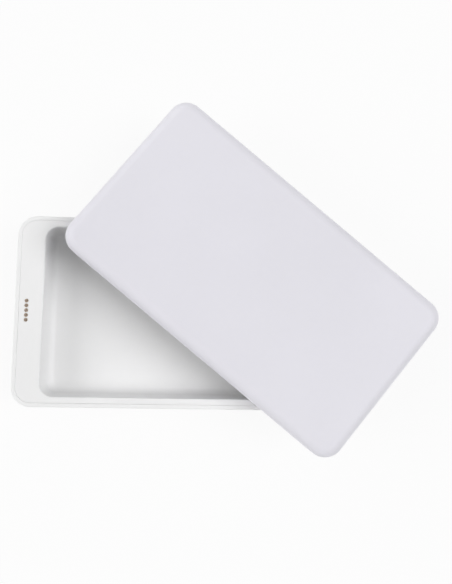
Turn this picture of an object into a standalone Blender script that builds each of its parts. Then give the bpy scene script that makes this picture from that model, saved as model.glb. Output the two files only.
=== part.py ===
"""A box that cleans a phone with ultraviolet light.

The base is a ring-walled shell with a moulded tray let into it. The lid is a loose cover of the same
plan, with a liner, two lamps and its own contacts. It rests on the deck, turned askew.
All lengths are in metres. The origin is under the middle of the base, at the soles of its feet.
"""

import math

import bmesh
import bpy
from mathutils import Matrix, Vector

# Plan of the closed box
BOX_LENGTH = 0.208
BOX_WIDTH = 0.116
PLAN_CORNER_RADIUS = 0.012
SMALLEST_RADIUS = 0.0005

# Gaps between pieces
SEAT_GAP = 0.0003
SEAM_GAP = 0.0003
LID_REST_GAP = 0.0003

# Ring wall and the ledge that carries the inner moulding, alike in the base and the lid
RING_WIDTH = 0.0025
LEDGE_WIDTH = 0.0011
LEDGE_DEPTH = 0.0020
WALL = 0.0022
RIM_PLATE = 0.0020
RIM_EDGE_ROUND = 0.0008
MOULDING_WALL = 0.0018

# Phone cavity, and the lid's recess that faces it
SIDE_CLEARANCE = 0.0008
CAVITY_CORNER_RADIUS = 0.0080
CAVITY_DRAFT = math.radians(5.0)
CAVITY_DEPTH = 0.0180
CAVITY_FILLET = 0.0040
RECESS_DEPTH = 0.0080
RECESS_FILLET = 0.0020

# Base shell
BASE_FLOOR = 0.0022
BASE_DRAFT = math.radians(1.5)
BASE_TOP_ROUND = 0.0006
BASE_BOTTOM_ROUND = 0.0040
BASE_INNER_ROUND = 0.0020

# Feet
FOOT_RADIUS = 0.0050
FOOT_PROUD = 0.0010
FOOT_SUNK = 0.0008
FOOT_EDGE_ROUND = 0.0003
FOOT_FROM_END = 0.0230
FOOT_FROM_SIDE = 0.0150
FOOT_SIDE_GAP = 0.0003

# Screws of the base and of the liner
SCREW_HEAD_RADIUS = 0.0025
SCREW_HEAD_HEIGHT = 0.0016
SCREW_HEAD_ROUND = 0.0005
SCREW_SHANK_RADIUS = 0.0012
SCREW_HOLE_GAP = 0.0003
SCREW_SUNK = 0.0003
BASE_SCREW_LENGTH = 0.0100
BASE_SCREW_FROM_SIDE = 0.0140
SCREW_BOSS_WALL = 0.0020
BASE_SCREW_SEAT = 0.0020
BASE_BOSS_HEIGHT = 0.0080
PILOT_EXTRA = 0.0010
LINER_SCREW_SPACING = 0.1027
LINER_SCREW_FROM_WALL = 0.0057
LINER_SCREW_LENGTH = 0.0070
LINER_BOSS_HEIGHT = 0.0020

# Magnets
MAGNET_RADIUS = 0.0035
MAGNET_HEIGHT = 0.0020
MAGNET_SKIN = 0.0010
MAGNET_POCKET_GAP = 0.0003
MAGNET_BOSS_WALL = 0.0008
MAGNET_SIDE_CLEARANCE = 0.0012
MAGNET_FROM_CONTACTS = 0.0154

# Sprung contacts in the base and their pads in the lid
CONTACT_COUNT = 5
CONTACT_PITCH = 0.00292
CONTACT_SIDE_CLEARANCE = 0.0009
CONTACT_GAP = 0.00015
BARREL_RADIUS = 0.00100
BARREL_BORE = 0.00068
BARREL_BORE_DEPTH = 0.0060
PIN_RADIUS = 0.00050
PIN_PROUD = 0.00025
PIN_LENGTH = 0.0045
PIN_DOME = 0.00025
PAD_RADIUS = 0.00095
PAD_GAP = 0.00015
PAD_LENGTH = 0.0050
CONTACT_BLOCK_WIDTH = 0.0050
CONTACT_BLOCK_MARGIN = 0.0028

# Main board and what stands on it
BOARD_THICKNESS = 0.0012
BOARD_END_CLEARANCE = 0.0032
BOARD_SIDE_CLEARANCE = 0.0010
BOARD_HEIGHT = 0.0100
POST_RADIUS = 0.0025
POST_FROM_BOARD_END = 0.0080
CHIP_SIZE = 0.0036
CHIP_HEIGHT = 0.0011
CHIP_FROM_CONTACTS = 0.0008
PART_SUNK = 0.0004
LED_WIDTH = 0.0030
LED_DEPTH = 0.0024
LED_HEIGHT = 0.0040

# Socket, button and light on the left end
SOCKET_WIDTH = 0.0090
SOCKET_HEIGHT = 0.0033
SOCKET_DEPTH = 0.0073
SOCKET_WALL = 0.00035
SOCKET_BACK = 0.0011
SOCKET_TONGUE_WIDTH = 0.0066
SOCKET_TONGUE_THICKNESS = 0.0007
SOCKET_TONGUE_LENGTH = 0.0048
SOCKET_SUNK = 0.0003
SOCKET_FROM_CONTACTS = 0.0070
BUTTON_RADIUS = 0.0040
BUTTON_PROUD = 0.0008
BUTTON_DOME = 0.0004
BUTTON_FLANGE = 0.0010
BUTTON_FLANGE_THICKNESS = 0.0008
BUTTON_TRAVEL = 0.0005
BUTTON_FROM_CONTACTS = 0.0036
SWITCH_WIDTH = 0.0060
SWITCH_DEPTH = 0.0050
SWITCH_HEIGHT = 0.0040
PLUNGER_RADIUS = 0.0013
PLUNGER_OUT = 0.0006
PLUNGER_IN = 0.0010
LIGHT_RADIUS = 0.0012
LIGHT_DOME = 0.0003
LIGHT_LENGTH = 0.0055
LIGHT_FROM_BUTTON = 0.0013

# Wireless charging under the cavity's floor
COIL_OUTER_RADIUS = 0.0220
COIL_INNER_RADIUS = 0.0100
COIL_THICKNESS = 0.0012
FERRITE_SIDE = 0.0460
FERRITE_THICKNESS = 0.0008
FERRITE_CORNER = 0.0030
RIBBON_WIDTH = 0.0080
RIBBON_THICKNESS = 0.0003
RIBBON_CLEARANCE = 0.0008
RIBBON_Y = -0.0050
RIBBON_LAP = 0.0040
RIBBON_DROP_RUN = 0.0020

# Lid shell
LID_INSET = 0.0001
LID_DRAFT = math.radians(1.2)
LID_TOP_ROUND = 0.0068
LID_LOWER_ROUND = 0.0004
LID_CROWN = 0.0005
LID_CROWN_SHARES = (0.7, 0.4, 0.15)

# Lamps in the lid
LAMP_RADIUS = 0.0028
LAMP_CAP_RADIUS = 0.0018
LAMP_GLASS_CLEARANCE = 0.0005
LAMP_CLEARANCE = 0.00245
LAMP_NECK = 0.0008
LAMP_SPACING = 0.0140
LAMP_SPAN = 0.1460
HOLDER_THICKNESS = 0.0060
HOLDER_MARGIN = 0.0022
LAMP_HOLE_GAP = 0.0003
REFLECTOR_SHEET = 0.0005
REFLECTOR_MOUTH = 0.0290
REFLECTOR_TOP = 0.0210
REFLECTOR_FLANGE = 0.0022
GRILLE_SLOT = 0.0032
GRILLE_PITCH = 0.0060
GRILLE_SLOT_LENGTH = 0.0260
GRILLE_END_MARGIN = 0.0040
LID_POST_FROM_CONTACTS = 0.0059
LID_POST_FROM_END = 0.0045

# The way the lid lies: turned clockwise, seen from above, about its front right liner screw
LID_TURN = math.radians(-38.7)

# Facets
CORNER_STEPS = 6
ROUND_STEPS = 4
EDGE_STEPS = 3
DOME_STEPS = 2
BROW_STEPS = 6
FINE_FACETS = 12
BOSS_FACETS = 16
FACETS = 24
WIDE_FACETS = 32
SHARP_ANGLE = math.radians(32.0)
CUT_OVERRUN = 0.0010

# Radii that several pieces share
SCREW_HOLE_RADIUS = SCREW_SHANK_RADIUS + SCREW_HOLE_GAP
COUNTERBORE_RADIUS = SCREW_HEAD_RADIUS + SCREW_HOLE_GAP
SCREW_BOSS_RADIUS = COUNTERBORE_RADIUS + SCREW_BOSS_WALL
MAGNET_POCKET_RADIUS = MAGNET_RADIUS + MAGNET_POCKET_GAP
MAGNET_BOSS_RADIUS = MAGNET_POCKET_RADIUS + MAGNET_BOSS_WALL

# Rims, wide enough for the walls below them and, at the ends, for the magnets
END_ROOM = 2 * (MAGNET_BOSS_RADIUS + MAGNET_SIDE_CLEARANCE)
END_RIM = RING_WIDTH + LEDGE_WIDTH + END_ROOM + MOULDING_WALL
SIDE_RIM = LID_INSET + RING_WIDTH + LEDGE_WIDTH + SIDE_CLEARANCE + MOULDING_WALL

# Heights that follow from what the base and the lid hold
COIL_ROOM = 2 * SEAT_GAP + COIL_THICKNESS + FERRITE_THICKNESS
RIBBON_ROOM = RIBBON_CLEARANCE + RIBBON_THICKNESS + SEAT_GAP
BASE_HEIGHT = BASE_FLOOR + RIBBON_ROOM + COIL_ROOM + MOULDING_WALL + CAVITY_DEPTH
LAMP_ROOM = 2 * (LAMP_RADIUS + LAMP_CLEARANCE)
LID_HEIGHT = RECESS_DEPTH + MOULDING_WALL + LAMP_ROOM + WALL + LID_CROWN

# Levels above the base's underside, and distances that several pieces share
DECK_TOP = BASE_HEIGHT
DECK_UNDERSIDE = DECK_TOP - RIM_PLATE
CAVITY_FLOOR = DECK_TOP - CAVITY_DEPTH
TRAY_UNDERSIDE = CAVITY_FLOOR - MOULDING_WALL
BOARD_TOP = BOARD_HEIGHT + BOARD_THICKNESS
CEILING = RECESS_DEPTH
CEILING_TOP = CEILING + MOULDING_WALL
LID_INNER_TOP = LID_HEIGHT - LID_CROWN - WALL
LID_INNER_ROUND = LID_TOP_ROUND - WALL
LID_LEVEL = FOOT_PROUD + BASE_HEIGHT + LID_REST_GAP

BOX_PLAN = (BOX_LENGTH / 2, BOX_WIDTH / 2, PLAN_CORNER_RADIUS)
CAVITY_PLAN = (BOX_LENGTH / 2 - END_RIM, BOX_WIDTH / 2 - SIDE_RIM, CAVITY_CORNER_RADIUS)

LEDGE_EDGE_X = BOX_LENGTH / 2 - RING_WIDTH - LEDGE_WIDTH
TUB_EDGE_X = BOX_LENGTH / 2 - END_RIM + MOULDING_WALL
END_ZONE_X = (LEDGE_EDGE_X + TUB_EDGE_X) / 2
END_ZONE_HALF = (LEDGE_EDGE_X - TUB_EDGE_X) / 2
CONTACT_X = -(LEDGE_EDGE_X - CONTACT_SIDE_CLEARANCE - CONTACT_BLOCK_WIDTH / 2)
CONTACT_ROW_HALF = (CONTACT_COUNT - 1) / 2 * CONTACT_PITCH
CONTACT_BLOCK_HALF = CONTACT_ROW_HALF + CONTACT_BLOCK_MARGIN
MAGNET_Y = CONTACT_ROW_HALF + MAGNET_FROM_CONTACTS
BASE_SCREW_Y = BOX_WIDTH / 2 - BASE_SCREW_FROM_SIDE
BOARD_HALF = BASE_SCREW_Y - SCREW_BOSS_RADIUS - BOARD_END_CLEARANCE
LID_POST_Y = CONTACT_ROW_HALF + LID_POST_FROM_CONTACTS
CHIP_Y = CONTACT_BLOCK_HALF + CHIP_FROM_CONTACTS + CHIP_SIZE / 2
SOCKET_Y = -(CONTACT_BLOCK_HALF + SOCKET_FROM_CONTACTS + SOCKET_WIDTH / 2)
BUTTON_Y = CONTACT_BLOCK_HALF + BUTTON_FROM_CONTACTS + BUTTON_FLANGE + BUTTON_RADIUS
LIGHT_Y = BUTTON_Y + BUTTON_RADIUS + BUTTON_FLANGE + LIGHT_FROM_BUTTON + LIGHT_RADIUS
SOCKET_MOUTH_DEPTH = SOCKET_DEPTH - SOCKET_BACK
LINER_SCREW_X = LINER_SCREW_SPACING / 2
LINER_SCREW_Y = BOX_WIDTH / 2 - SIDE_RIM - LINER_SCREW_FROM_WALL
LAMP_Z = (CEILING_TOP + LID_INNER_TOP) / 2
HOLDER_X = LAMP_SPAN / 2
OUTWARD_LEFT = Matrix.Rotation(math.radians(-90.0), 4, "Y")


def clear_scene():
    """Takes away whatever the file already holds."""
    for old in list(bpy.data.objects):
        bpy.data.objects.remove(old, do_unlink=True)


def material(name, color, roughness, metallic=0.0, transmission=0.0):
    """Makes a plain material in one colour."""
    made = bpy.data.materials.new(name)
    made.use_nodes = True
    shader = made.node_tree.nodes["Principled BSDF"]
    shader.inputs["Base Color"].default_value = (*color, 1.0)
    shader.inputs["Roughness"].default_value = roughness
    shader.inputs["Metallic"].default_value = metallic
    shader.inputs["Transmission Weight"].default_value = transmission
    made.diffuse_color = (*color, 1.0)
    return made


def make_materials():
    """Makes the colours of all the pieces."""
    return {
        "shell_white": material("shell_white", (0.86, 0.86, 0.86), 0.35),
        "lid_white": material("lid_white", (0.80, 0.79, 0.85), 0.38),
        "tray_white": material("tray_white", (0.84, 0.84, 0.84), 0.32),
        "gold": material("gold", (0.80, 0.52, 0.20), 0.28, 1.0),
        "steel": material("steel", (0.62, 0.62, 0.64), 0.30, 1.0),
        "magnet": material("magnet", (0.55, 0.55, 0.57), 0.25, 1.0),
        "foot_rubber": material("foot_rubber", (0.30, 0.30, 0.31), 0.80),
        "black_plastic": material("black_plastic", (0.03, 0.03, 0.03), 0.50),
        "board_green": material("board_green", (0.03, 0.16, 0.07), 0.45),
        "board_white": material("board_white", (0.82, 0.82, 0.80), 0.45),
        "copper": material("copper", (0.60, 0.27, 0.12), 0.35, 1.0),
        "ferrite": material("ferrite", (0.09, 0.09, 0.10), 0.70),
        "clear": material("clear", (0.90, 0.93, 0.95), 0.05, 0.0, 0.9),
        "lamp_glass": material("lamp_glass", (0.86, 0.88, 0.93), 0.12),
        "mirror": material("mirror", (0.85, 0.85, 0.86), 0.10, 1.0),
        "ribbon": material("ribbon", (0.55, 0.26, 0.05), 0.40),
        "button_grey": material("button_grey", (0.66, 0.66, 0.68), 0.40),
    }


def rounded_rectangle(half_length, half_width, radius, z):
    """Points of a rounded rectangle, counter-clockwise from above."""
    points = []
    corners = ((1, 1, 0.0), (-1, 1, 90.0), (-1, -1, 180.0), (1, -1, 270.0))
    for side_x, side_y, start in corners:
        centre_x = side_x * (half_length - radius)
        centre_y = side_y * (half_width - radius)
        for step in range(CORNER_STEPS + 1):
            angle = math.radians(start + 90.0 * step / CORNER_STEPS)
            x = centre_x + radius * math.cos(angle)
            y = centre_y + radius * math.sin(angle)
            points.append(Vector((x, y, z)))
    return points


def plan_ring(plan, inset, z):
    """One level of a moulding: a plan drawn in by an inset, or let out by a negative one."""
    half_length, half_width, radius = plan
    kept_radius = max(radius - inset, SMALLEST_RADIUS)
    return rounded_rectangle(half_length - inset, half_width - inset, kept_radius, z)


def circle(radius, z, facets):
    """Points of a circle about the local Z axis."""
    points = []
    for step in range(facets):
        angle = 2.0 * math.pi * step / facets
        points.append(Vector((radius * math.cos(angle), radius * math.sin(angle), z)))
    return points


def skin(bm, rings, closed=False, place=Matrix.Identity(4)):
    """Joins rings of points with faces. Open ends get a flat cap each."""
    levels = [[bm.verts.new(place @ point) for point in ring] for ring in rings]
    pairs = list(zip(levels, levels[1:]))
    if closed:
        pairs.append((levels[-1], levels[0]))
    faces = []
    for lower, upper in pairs:
        count = len(lower)
        for i in range(count):
            j = (i + 1) % count
            faces.append(bm.faces.new((lower[i], lower[j], upper[j], upper[i])))
    if not closed:
        faces.append(bm.faces.new(list(reversed(levels[0]))))
        faces.append(bm.faces.new(levels[-1]))
    bmesh.ops.recalc_face_normals(bm, faces=faces)


def turned(bm, profile, facets=FACETS, closed=False, place=Matrix.Identity(4)):
    """A turned solid from pairs of radius and height."""
    skin(bm, [circle(radius, z, facets) for radius, z in profile], closed, place)


def box(bm, low, high, place=Matrix.Identity(4)):
    """A plain block between two corners."""
    rings = []
    for z in (low[2], high[2]):
        corners = ((low[0], low[1]), (high[0], low[1]), (high[0], high[1]), (low[0], high[1]))
        rings.append([Vector((x, y, z)) for x, y in corners])
    skin(bm, rings, False, place)


def along_x(bm, outline, x_low, x_high):
    """A straight bar along X with an outline of (y, z) points."""
    rings = [[Vector((x, y, z)) for y, z in outline] for x in (x_low, x_high)]
    skin(bm, rings)


def along_y(bm, outline, y_low, y_high):
    """A straight bar along Y with an outline of (x, z) points."""
    rings = [[Vector((x, y, z)) for x, z in outline] for y in (y_low, y_high)]
    skin(bm, rings)


def quarter(radius, steps=ROUND_STEPS):
    """Pairs that run a quarter circle: from (0, 0) to (radius, radius), first rising."""
    pairs = []
    for step in range(steps + 1):
        angle = math.radians(90.0) * step / steps
        pairs.append((radius * (1.0 - math.cos(angle)), radius * math.sin(angle)))
    return pairs


def domed_end(radius, top, dome):
    """The end of a turned solid with a rounded edge, as pairs of radius and height."""
    pairs = []
    for across, rise in quarter(dome, DOME_STEPS):
        pairs.append((radius - across, top - dome + rise))
    return pairs


def new_object(name, bm, look):
    """Turns the worked shape into a named object at the origin."""
    mesh = bpy.data.meshes.new(name)
    bm.to_mesh(mesh)
    bm.free()
    mesh.materials.append(look)
    made = bpy.data.objects.new(name, mesh)
    bpy.context.scene.collection.objects.link(made)
    return made


def combine(target, bm, operation):
    """Joins another shape to the target, or cuts it away, and keeps the result."""
    tool = new_object(target.name + "_tool", bm, target.data.materials[0])
    change = target.modifiers.new("combine", "BOOLEAN")
    change.solver = "EXACT"
    change.operation = operation
    change.object = tool
    state = bpy.context.evaluated_depsgraph_get()
    result = bpy.data.meshes.new_from_object(target.evaluated_get(state))
    target.modifiers.clear()
    target.data = result
    result.name = target.name
    bpy.data.objects.remove(tool, do_unlink=True)


def smooth(target):
    """Shades the round faces smooth and keeps the real edges crisp."""
    target.data.shade_smooth()
    target.data.set_sharp_from_angle(angle=SHARP_ANGLE)


def put(target, place, turn=None, parent=None):
    """Finishes a piece and sets it in its place."""
    smooth(target)
    target.location = place
    if turn is not None:
        target.rotation_euler = turn
    if parent is not None:
        target.parent = parent


def at(x, y, z=0.0):
    """A plain move."""
    return Matrix.Translation((x, y, z))


def corners_of(x, y):
    """The four places of what repeats at the corners, each with its name."""
    return (
        ("front_left", -x, -y),
        ("front_right", x, -y),
        ("back_left", -x, y),
        ("back_right", x, y),
    )


def contact_places():
    """The row of contacts, from the front to the back."""
    for index in range(CONTACT_COUNT):
        yield index + 1, index * CONTACT_PITCH - CONTACT_ROW_HALF


def base_wall_inset(z):
    """How far the base's outer wall leans in at a level."""
    return max(DECK_TOP - BASE_TOP_ROUND - z, 0.0) * math.tan(BASE_DRAFT)


def lid_wall_inset(z):
    """How far the lid's outer wall leans in at a level."""
    return LID_INSET + z * math.tan(LID_DRAFT)


def end_wall_x(z):
    """The outer face of the base's left end at a level."""
    return -(BOX_LENGTH / 2 - base_wall_inset(z))


def end_wall_inner_x(z):
    """The inner face of the base's left end at a level."""
    return end_wall_x(z) + WALL


def base_shell_rings():
    """Levels of the base's outer moulding: up the outside, over the ring and down inside."""
    rings = []
    foot_inset = base_wall_inset(BASE_BOTTOM_ROUND)
    for across, rise in reversed(quarter(BASE_BOTTOM_ROUND)):
        inset = foot_inset + across
        rings.append(plan_ring(BOX_PLAN, inset, BASE_BOTTOM_ROUND - rise))
    for across, rise in quarter(BASE_TOP_ROUND, EDGE_STEPS):
        rings.append(plan_ring(BOX_PLAN, across, DECK_TOP - BASE_TOP_ROUND + rise))
    ledge_top = DECK_UNDERSIDE - SEAT_GAP
    ledge_foot = ledge_top - LEDGE_DEPTH
    ledge_inset = RING_WIDTH + LEDGE_WIDTH
    blend = ledge_foot - LEDGE_WIDTH
    rings.append(plan_ring(BOX_PLAN, RING_WIDTH, DECK_TOP))
    rings.append(plan_ring(BOX_PLAN, RING_WIDTH, ledge_top))
    rings.append(plan_ring(BOX_PLAN, ledge_inset, ledge_top))
    rings.append(plan_ring(BOX_PLAN, ledge_inset, ledge_foot))
    rings.append(plan_ring(BOX_PLAN, base_wall_inset(blend) + WALL, blend))
    low = BASE_FLOOR + BASE_INNER_ROUND
    inner_inset = base_wall_inset(low) + WALL
    for across, drop in quarter(BASE_INNER_ROUND, EDGE_STEPS):
        rings.append(plan_ring(BOX_PLAN, inner_inset + across, low - drop))
    return rings


def moulding_rings(depth, fillet):
    """Levels of a tray with a rim plate: its underside first, then its rim, then the hollow.

    Heights are measured down from the rim's face, so they come out negative.
    """
    rings = []
    lean = math.tan(CAVITY_DRAFT)
    corner = (depth - fillet) * lean + fillet
    outer = fillet + MOULDING_WALL
    for step in range(ROUND_STEPS + 1):
        angle = math.radians(90.0) * (1.0 - step / ROUND_STEPS)
        inset = corner - outer * math.cos(angle)
        rings.append(plan_ring(CAVITY_PLAN, inset, -(depth - fillet) - outer * math.sin(angle)))
    rings.append(plan_ring(CAVITY_PLAN, RIM_PLATE * lean - MOULDING_WALL, -RIM_PLATE))
    return rings, lean, corner


def hollow_rings(depth, fillet, lean, corner):
    """Levels of the hollow itself, from its rounded edge down to its floor."""
    rings = []
    for across, rise in reversed(quarter(RIM_EDGE_ROUND, EDGE_STEPS)):
        rings.append(plan_ring(CAVITY_PLAN, -across, rise - RIM_EDGE_ROUND))
    rings[-1] = plan_ring(CAVITY_PLAN, RIM_EDGE_ROUND * lean, -RIM_EDGE_ROUND)
    for step in range(ROUND_STEPS + 1):
        angle = math.radians(90.0) * step / ROUND_STEPS
        inset = corner - fillet * math.cos(angle)
        rings.append(plan_ring(CAVITY_PLAN, inset, -(depth - fillet) - fillet * math.sin(angle)))
    return rings


def moulding(name, look, depth, fillet, edge_inset):
    """A rim plate with a drafted, filleted hollow in it, face up, with its face at zero."""
    under, lean, corner = moulding_rings(depth, fillet)
    edge = [
        plan_ring(BOX_PLAN, edge_inset, -RIM_PLATE),
        plan_ring(BOX_PLAN, edge_inset, 0.0),
    ]
    bm = bmesh.new()
    skin(bm, under + edge + hollow_rings(depth, fillet, lean, corner))
    return new_object(name, bm, look)


def screw_profile(length):
    """A pan-head screw, head down: from the head's face up to the tip."""
    return [
        (SCREW_HEAD_RADIUS - SCREW_HEAD_ROUND, 0.0),
        (SCREW_HEAD_RADIUS, SCREW_HEAD_ROUND),
        (SCREW_HEAD_RADIUS, SCREW_HEAD_HEIGHT),
        (SCREW_SHANK_RADIUS, SCREW_HEAD_HEIGHT),
        (SCREW_SHANK_RADIUS, SCREW_HEAD_HEIGHT + length - SCREW_SHANK_RADIUS / 2),
        (SCREW_SHANK_RADIUS / 2, SCREW_HEAD_HEIGHT + length),
    ]


def counterbore(depth, reach):
    """The cut for a screw: a bore for its head, then the hole for its shank."""
    return [
        (COUNTERBORE_RADIUS, -CUT_OVERRUN),
        (COUNTERBORE_RADIUS, depth),
        (SCREW_HOLE_RADIUS, depth),
        (SCREW_HOLE_RADIUS, reach),
    ]


def stadium(half_width, half_height, z):
    """A slot outline with round ends, long along the local Y axis."""
    points = []
    for side, start in ((1, 0.0), (-1, 180.0)):
        for step in range(CORNER_STEPS + 1):
            angle = math.radians(start + 180.0 * step / CORNER_STEPS)
            x = half_height * math.cos(angle)
            y = side * (half_width - half_height) + half_height * math.sin(angle)
            points.append(Vector((x, y, z)))
    return points


def make_base_shell(looks):
    """The outer moulding of the base, with its bosses, posts and holes."""
    bm = bmesh.new()
    skin(bm, base_shell_rings())
    shell = new_object("base_shell", bm, looks["shell_white"])
    combine(shell, base_shell_bosses(), "UNION")
    combine(shell, base_shell_cuts(), "DIFFERENCE")
    put(shell, (0.0, 0.0, FOOT_PROUD))


def base_shell_bosses():
    """Screw bosses at the corners and two posts for the main board."""
    bm = bmesh.new()
    half_floor = BASE_FLOOR / 2
    for _, x, y in corners_of(END_ZONE_X, BASE_SCREW_Y):
        profile = [(SCREW_BOSS_RADIUS, half_floor), (SCREW_BOSS_RADIUS, BASE_BOSS_HEIGHT)]
        turned(bm, profile, BOSS_FACETS, place=at(x, y))
    post_y = BOARD_HALF - POST_FROM_BOARD_END
    post_top = BOARD_HEIGHT - SEAT_GAP
    for y in (-post_y, post_y):
        profile = [(POST_RADIUS, half_floor), (POST_RADIUS, post_top)]
        turned(bm, profile, FINE_FACETS, place=at(-END_ZONE_X, y))
    return bm


def base_shell_cuts():
    """Pockets of the feet, holes of the screws, and the three openings in the left end."""
    bm = bmesh.new()
    pocket_radius = FOOT_RADIUS + FOOT_SIDE_GAP
    pocket_depth = FOOT_SUNK + SEAT_GAP
    foot_x = BOX_LENGTH / 2 - FOOT_FROM_END
    foot_y = BOX_WIDTH / 2 - FOOT_FROM_SIDE
    foot_pocket = [(pocket_radius, -CUT_OVERRUN), (pocket_radius, pocket_depth)]
    for _, x, y in corners_of(foot_x, foot_y):
        turned(bm, foot_pocket, BOSS_FACETS, place=at(x, y))
    seat = BASE_BOSS_HEIGHT - BASE_SCREW_SEAT
    bore = counterbore(seat, BASE_BOSS_HEIGHT + CUT_OVERRUN)
    for _, x, y in corners_of(END_ZONE_X, BASE_SCREW_Y):
        turned(bm, bore, BOSS_FACETS, place=at(x, y))
    hole_start = -(WALL + CUT_OVERRUN)
    button_hole = BUTTON_RADIUS + SEAT_GAP
    face = end_wall_x(button_z())
    place = at(face, BUTTON_Y, button_z()) @ OUTWARD_LEFT
    turned(bm, [(button_hole, hole_start), (button_hole, CUT_OVERRUN)], place=place)
    light_hole = LIGHT_RADIUS + SEAT_GAP
    place = at(face, LIGHT_Y, button_z()) @ OUTWARD_LEFT
    turned(bm, [(light_hole, hole_start), (light_hole, CUT_OVERRUN)], FINE_FACETS, place=place)
    place = at(end_wall_x(socket_z()), SOCKET_Y, socket_z()) @ OUTWARD_LEFT
    half_width = SOCKET_WIDTH / 2 + SEAT_GAP
    half_height = SOCKET_HEIGHT / 2 + SEAT_GAP
    rings = [stadium(half_width, half_height, z) for z in (hole_start, CUT_OVERRUN)]
    skin(bm, rings, False, place)
    return bm


def button_z():
    """Level of the button, the light and the switch."""
    return BOARD_TOP + SEAT_GAP + SWITCH_HEIGHT / 2


def socket_z():
    """Level of the socket's middle."""
    return BOARD_TOP + SEAT_GAP + SOCKET_HEIGHT / 2


def make_base_tray(looks):
    """The deck and the phone's cavity in one moulding."""
    edge_inset = RING_WIDTH + SEAM_GAP
    tray = moulding("base_tray", looks["tray_white"], CAVITY_DEPTH, CAVITY_FILLET, edge_inset)
    combine(tray, tray_bosses(), "UNION")
    combine(tray, tray_cuts(), "DIFFERENCE")
    put(tray, (0.0, 0.0, FOOT_PROUD + DECK_TOP))


def magnet_pocket_depth():
    """How far a magnet's pocket reaches behind the rim's face."""
    return MAGNET_SKIN + SEAT_GAP + MAGNET_HEIGHT


def tray_bosses():
    """Screw bosses and magnet bosses on the underside of the deck."""
    bm = bmesh.new()
    embed = -RIM_PLATE / 2
    boss_radius = SCREW_HOLE_RADIUS + SCREW_BOSS_WALL
    boss_end = BASE_BOSS_HEIGHT + SEAT_GAP - DECK_TOP
    for _, x, y in corners_of(END_ZONE_X, BASE_SCREW_Y):
        turned(bm, [(boss_radius, boss_end), (boss_radius, embed)], BOSS_FACETS, place=at(x, y))
    magnet_end = -(magnet_pocket_depth() + SEAT_GAP)
    for _, x, y in corners_of(END_ZONE_X, MAGNET_Y):
        profile = [(MAGNET_BOSS_RADIUS, magnet_end), (MAGNET_BOSS_RADIUS, embed)]
        turned(bm, profile, BOSS_FACETS, place=at(x, y))
    return bm


def tray_cuts():
    """Contact holes, pilot holes and magnet pockets."""
    bm = bmesh.new()
    hole = BARREL_RADIUS + CONTACT_GAP
    for _, y in contact_places():
        profile = [(hole, -RIM_PLATE - CUT_OVERRUN), (hole, CUT_OVERRUN)]
        turned(bm, profile, FINE_FACETS, place=at(CONTACT_X, y))
    boss_end = BASE_BOSS_HEIGHT + SEAT_GAP - DECK_TOP
    pilot_end = boss_end + BASE_SCREW_LENGTH - BASE_SCREW_SEAT + PILOT_EXTRA
    for _, x, y in corners_of(END_ZONE_X, BASE_SCREW_Y):
        profile = [(SCREW_HOLE_RADIUS, boss_end - CUT_OVERRUN), (SCREW_HOLE_RADIUS, pilot_end)]
        turned(bm, profile, FINE_FACETS, place=at(x, y))
    pocket_start = -(magnet_pocket_depth() + SEAT_GAP + CUT_OVERRUN)
    for _, x, y in corners_of(END_ZONE_X, MAGNET_Y):
        profile = [(MAGNET_POCKET_RADIUS, pocket_start), (MAGNET_POCKET_RADIUS, -MAGNET_SKIN)]
        turned(bm, profile, BOSS_FACETS, place=at(x, y))
    return bm


def make_feet(looks):
    """Four rubber feet, each sunk a little into its pocket."""
    x_place = BOX_LENGTH / 2 - FOOT_FROM_END
    y_place = BOX_WIDTH / 2 - FOOT_FROM_SIDE
    profile = [
        (FOOT_RADIUS - FOOT_EDGE_ROUND, 0.0),
        (FOOT_RADIUS, FOOT_EDGE_ROUND),
        (FOOT_RADIUS, FOOT_PROUD + FOOT_SUNK),
    ]
    for name, x, y in corners_of(x_place, y_place):
        bm = bmesh.new()
        turned(bm, profile, BOSS_FACETS)
        foot = new_object("foot_" + name, bm, looks["foot_rubber"])
        put(foot, (x, y, 0.0))


def make_base_screws(looks):
    """Four screws, driven from below through the shell into the tray."""
    level = FOOT_PROUD + BASE_BOSS_HEIGHT - BASE_SCREW_SEAT - SEAT_GAP - SCREW_HEAD_HEIGHT
    for name, x, y in corners_of(END_ZONE_X, BASE_SCREW_Y):
        bm = bmesh.new()
        turned(bm, screw_profile(BASE_SCREW_LENGTH), FINE_FACETS)
        screw = new_object("base_screw_" + name, bm, looks["steel"])
        put(screw, (x, y, level))


def magnet(name, look):
    """A plain disc magnet, standing on its lower face."""
    bm = bmesh.new()
    turned(bm, [(MAGNET_RADIUS, 0.0), (MAGNET_RADIUS, MAGNET_HEIGHT)], BOSS_FACETS)
    return new_object(name, bm, look)


def make_base_magnets(looks):
    """Four disc magnets under the ends of the deck."""
    level = FOOT_PROUD + DECK_TOP - magnet_pocket_depth()
    for name, x, y in corners_of(END_ZONE_X, MAGNET_Y):
        disc = magnet("base_magnet_" + name, looks["magnet"])
        put(disc, (x, y, level))


def make_contact_block(looks):
    """The black block between the board and the deck, bored for the barrels."""
    height = DECK_UNDERSIDE - BOARD_TOP - 2 * SEAT_GAP
    half_width = CONTACT_BLOCK_WIDTH / 2
    bm = bmesh.new()
    low = (-half_width, -CONTACT_BLOCK_HALF, 0.0)
    box(bm, low, (half_width, CONTACT_BLOCK_HALF, height))
    block = new_object("contact_block", bm, looks["black_plastic"])
    holes = bmesh.new()
    radius = BARREL_RADIUS + CONTACT_GAP
    for _, y in contact_places():
        profile = [(radius, -CUT_OVERRUN), (radius, height + CUT_OVERRUN)]
        turned(holes, profile, FINE_FACETS, place=at(0.0, y))
    combine(block, holes, "DIFFERENCE")
    put(block, (CONTACT_X, 0.0, FOOT_PROUD + BOARD_TOP + SEAT_GAP))


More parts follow.
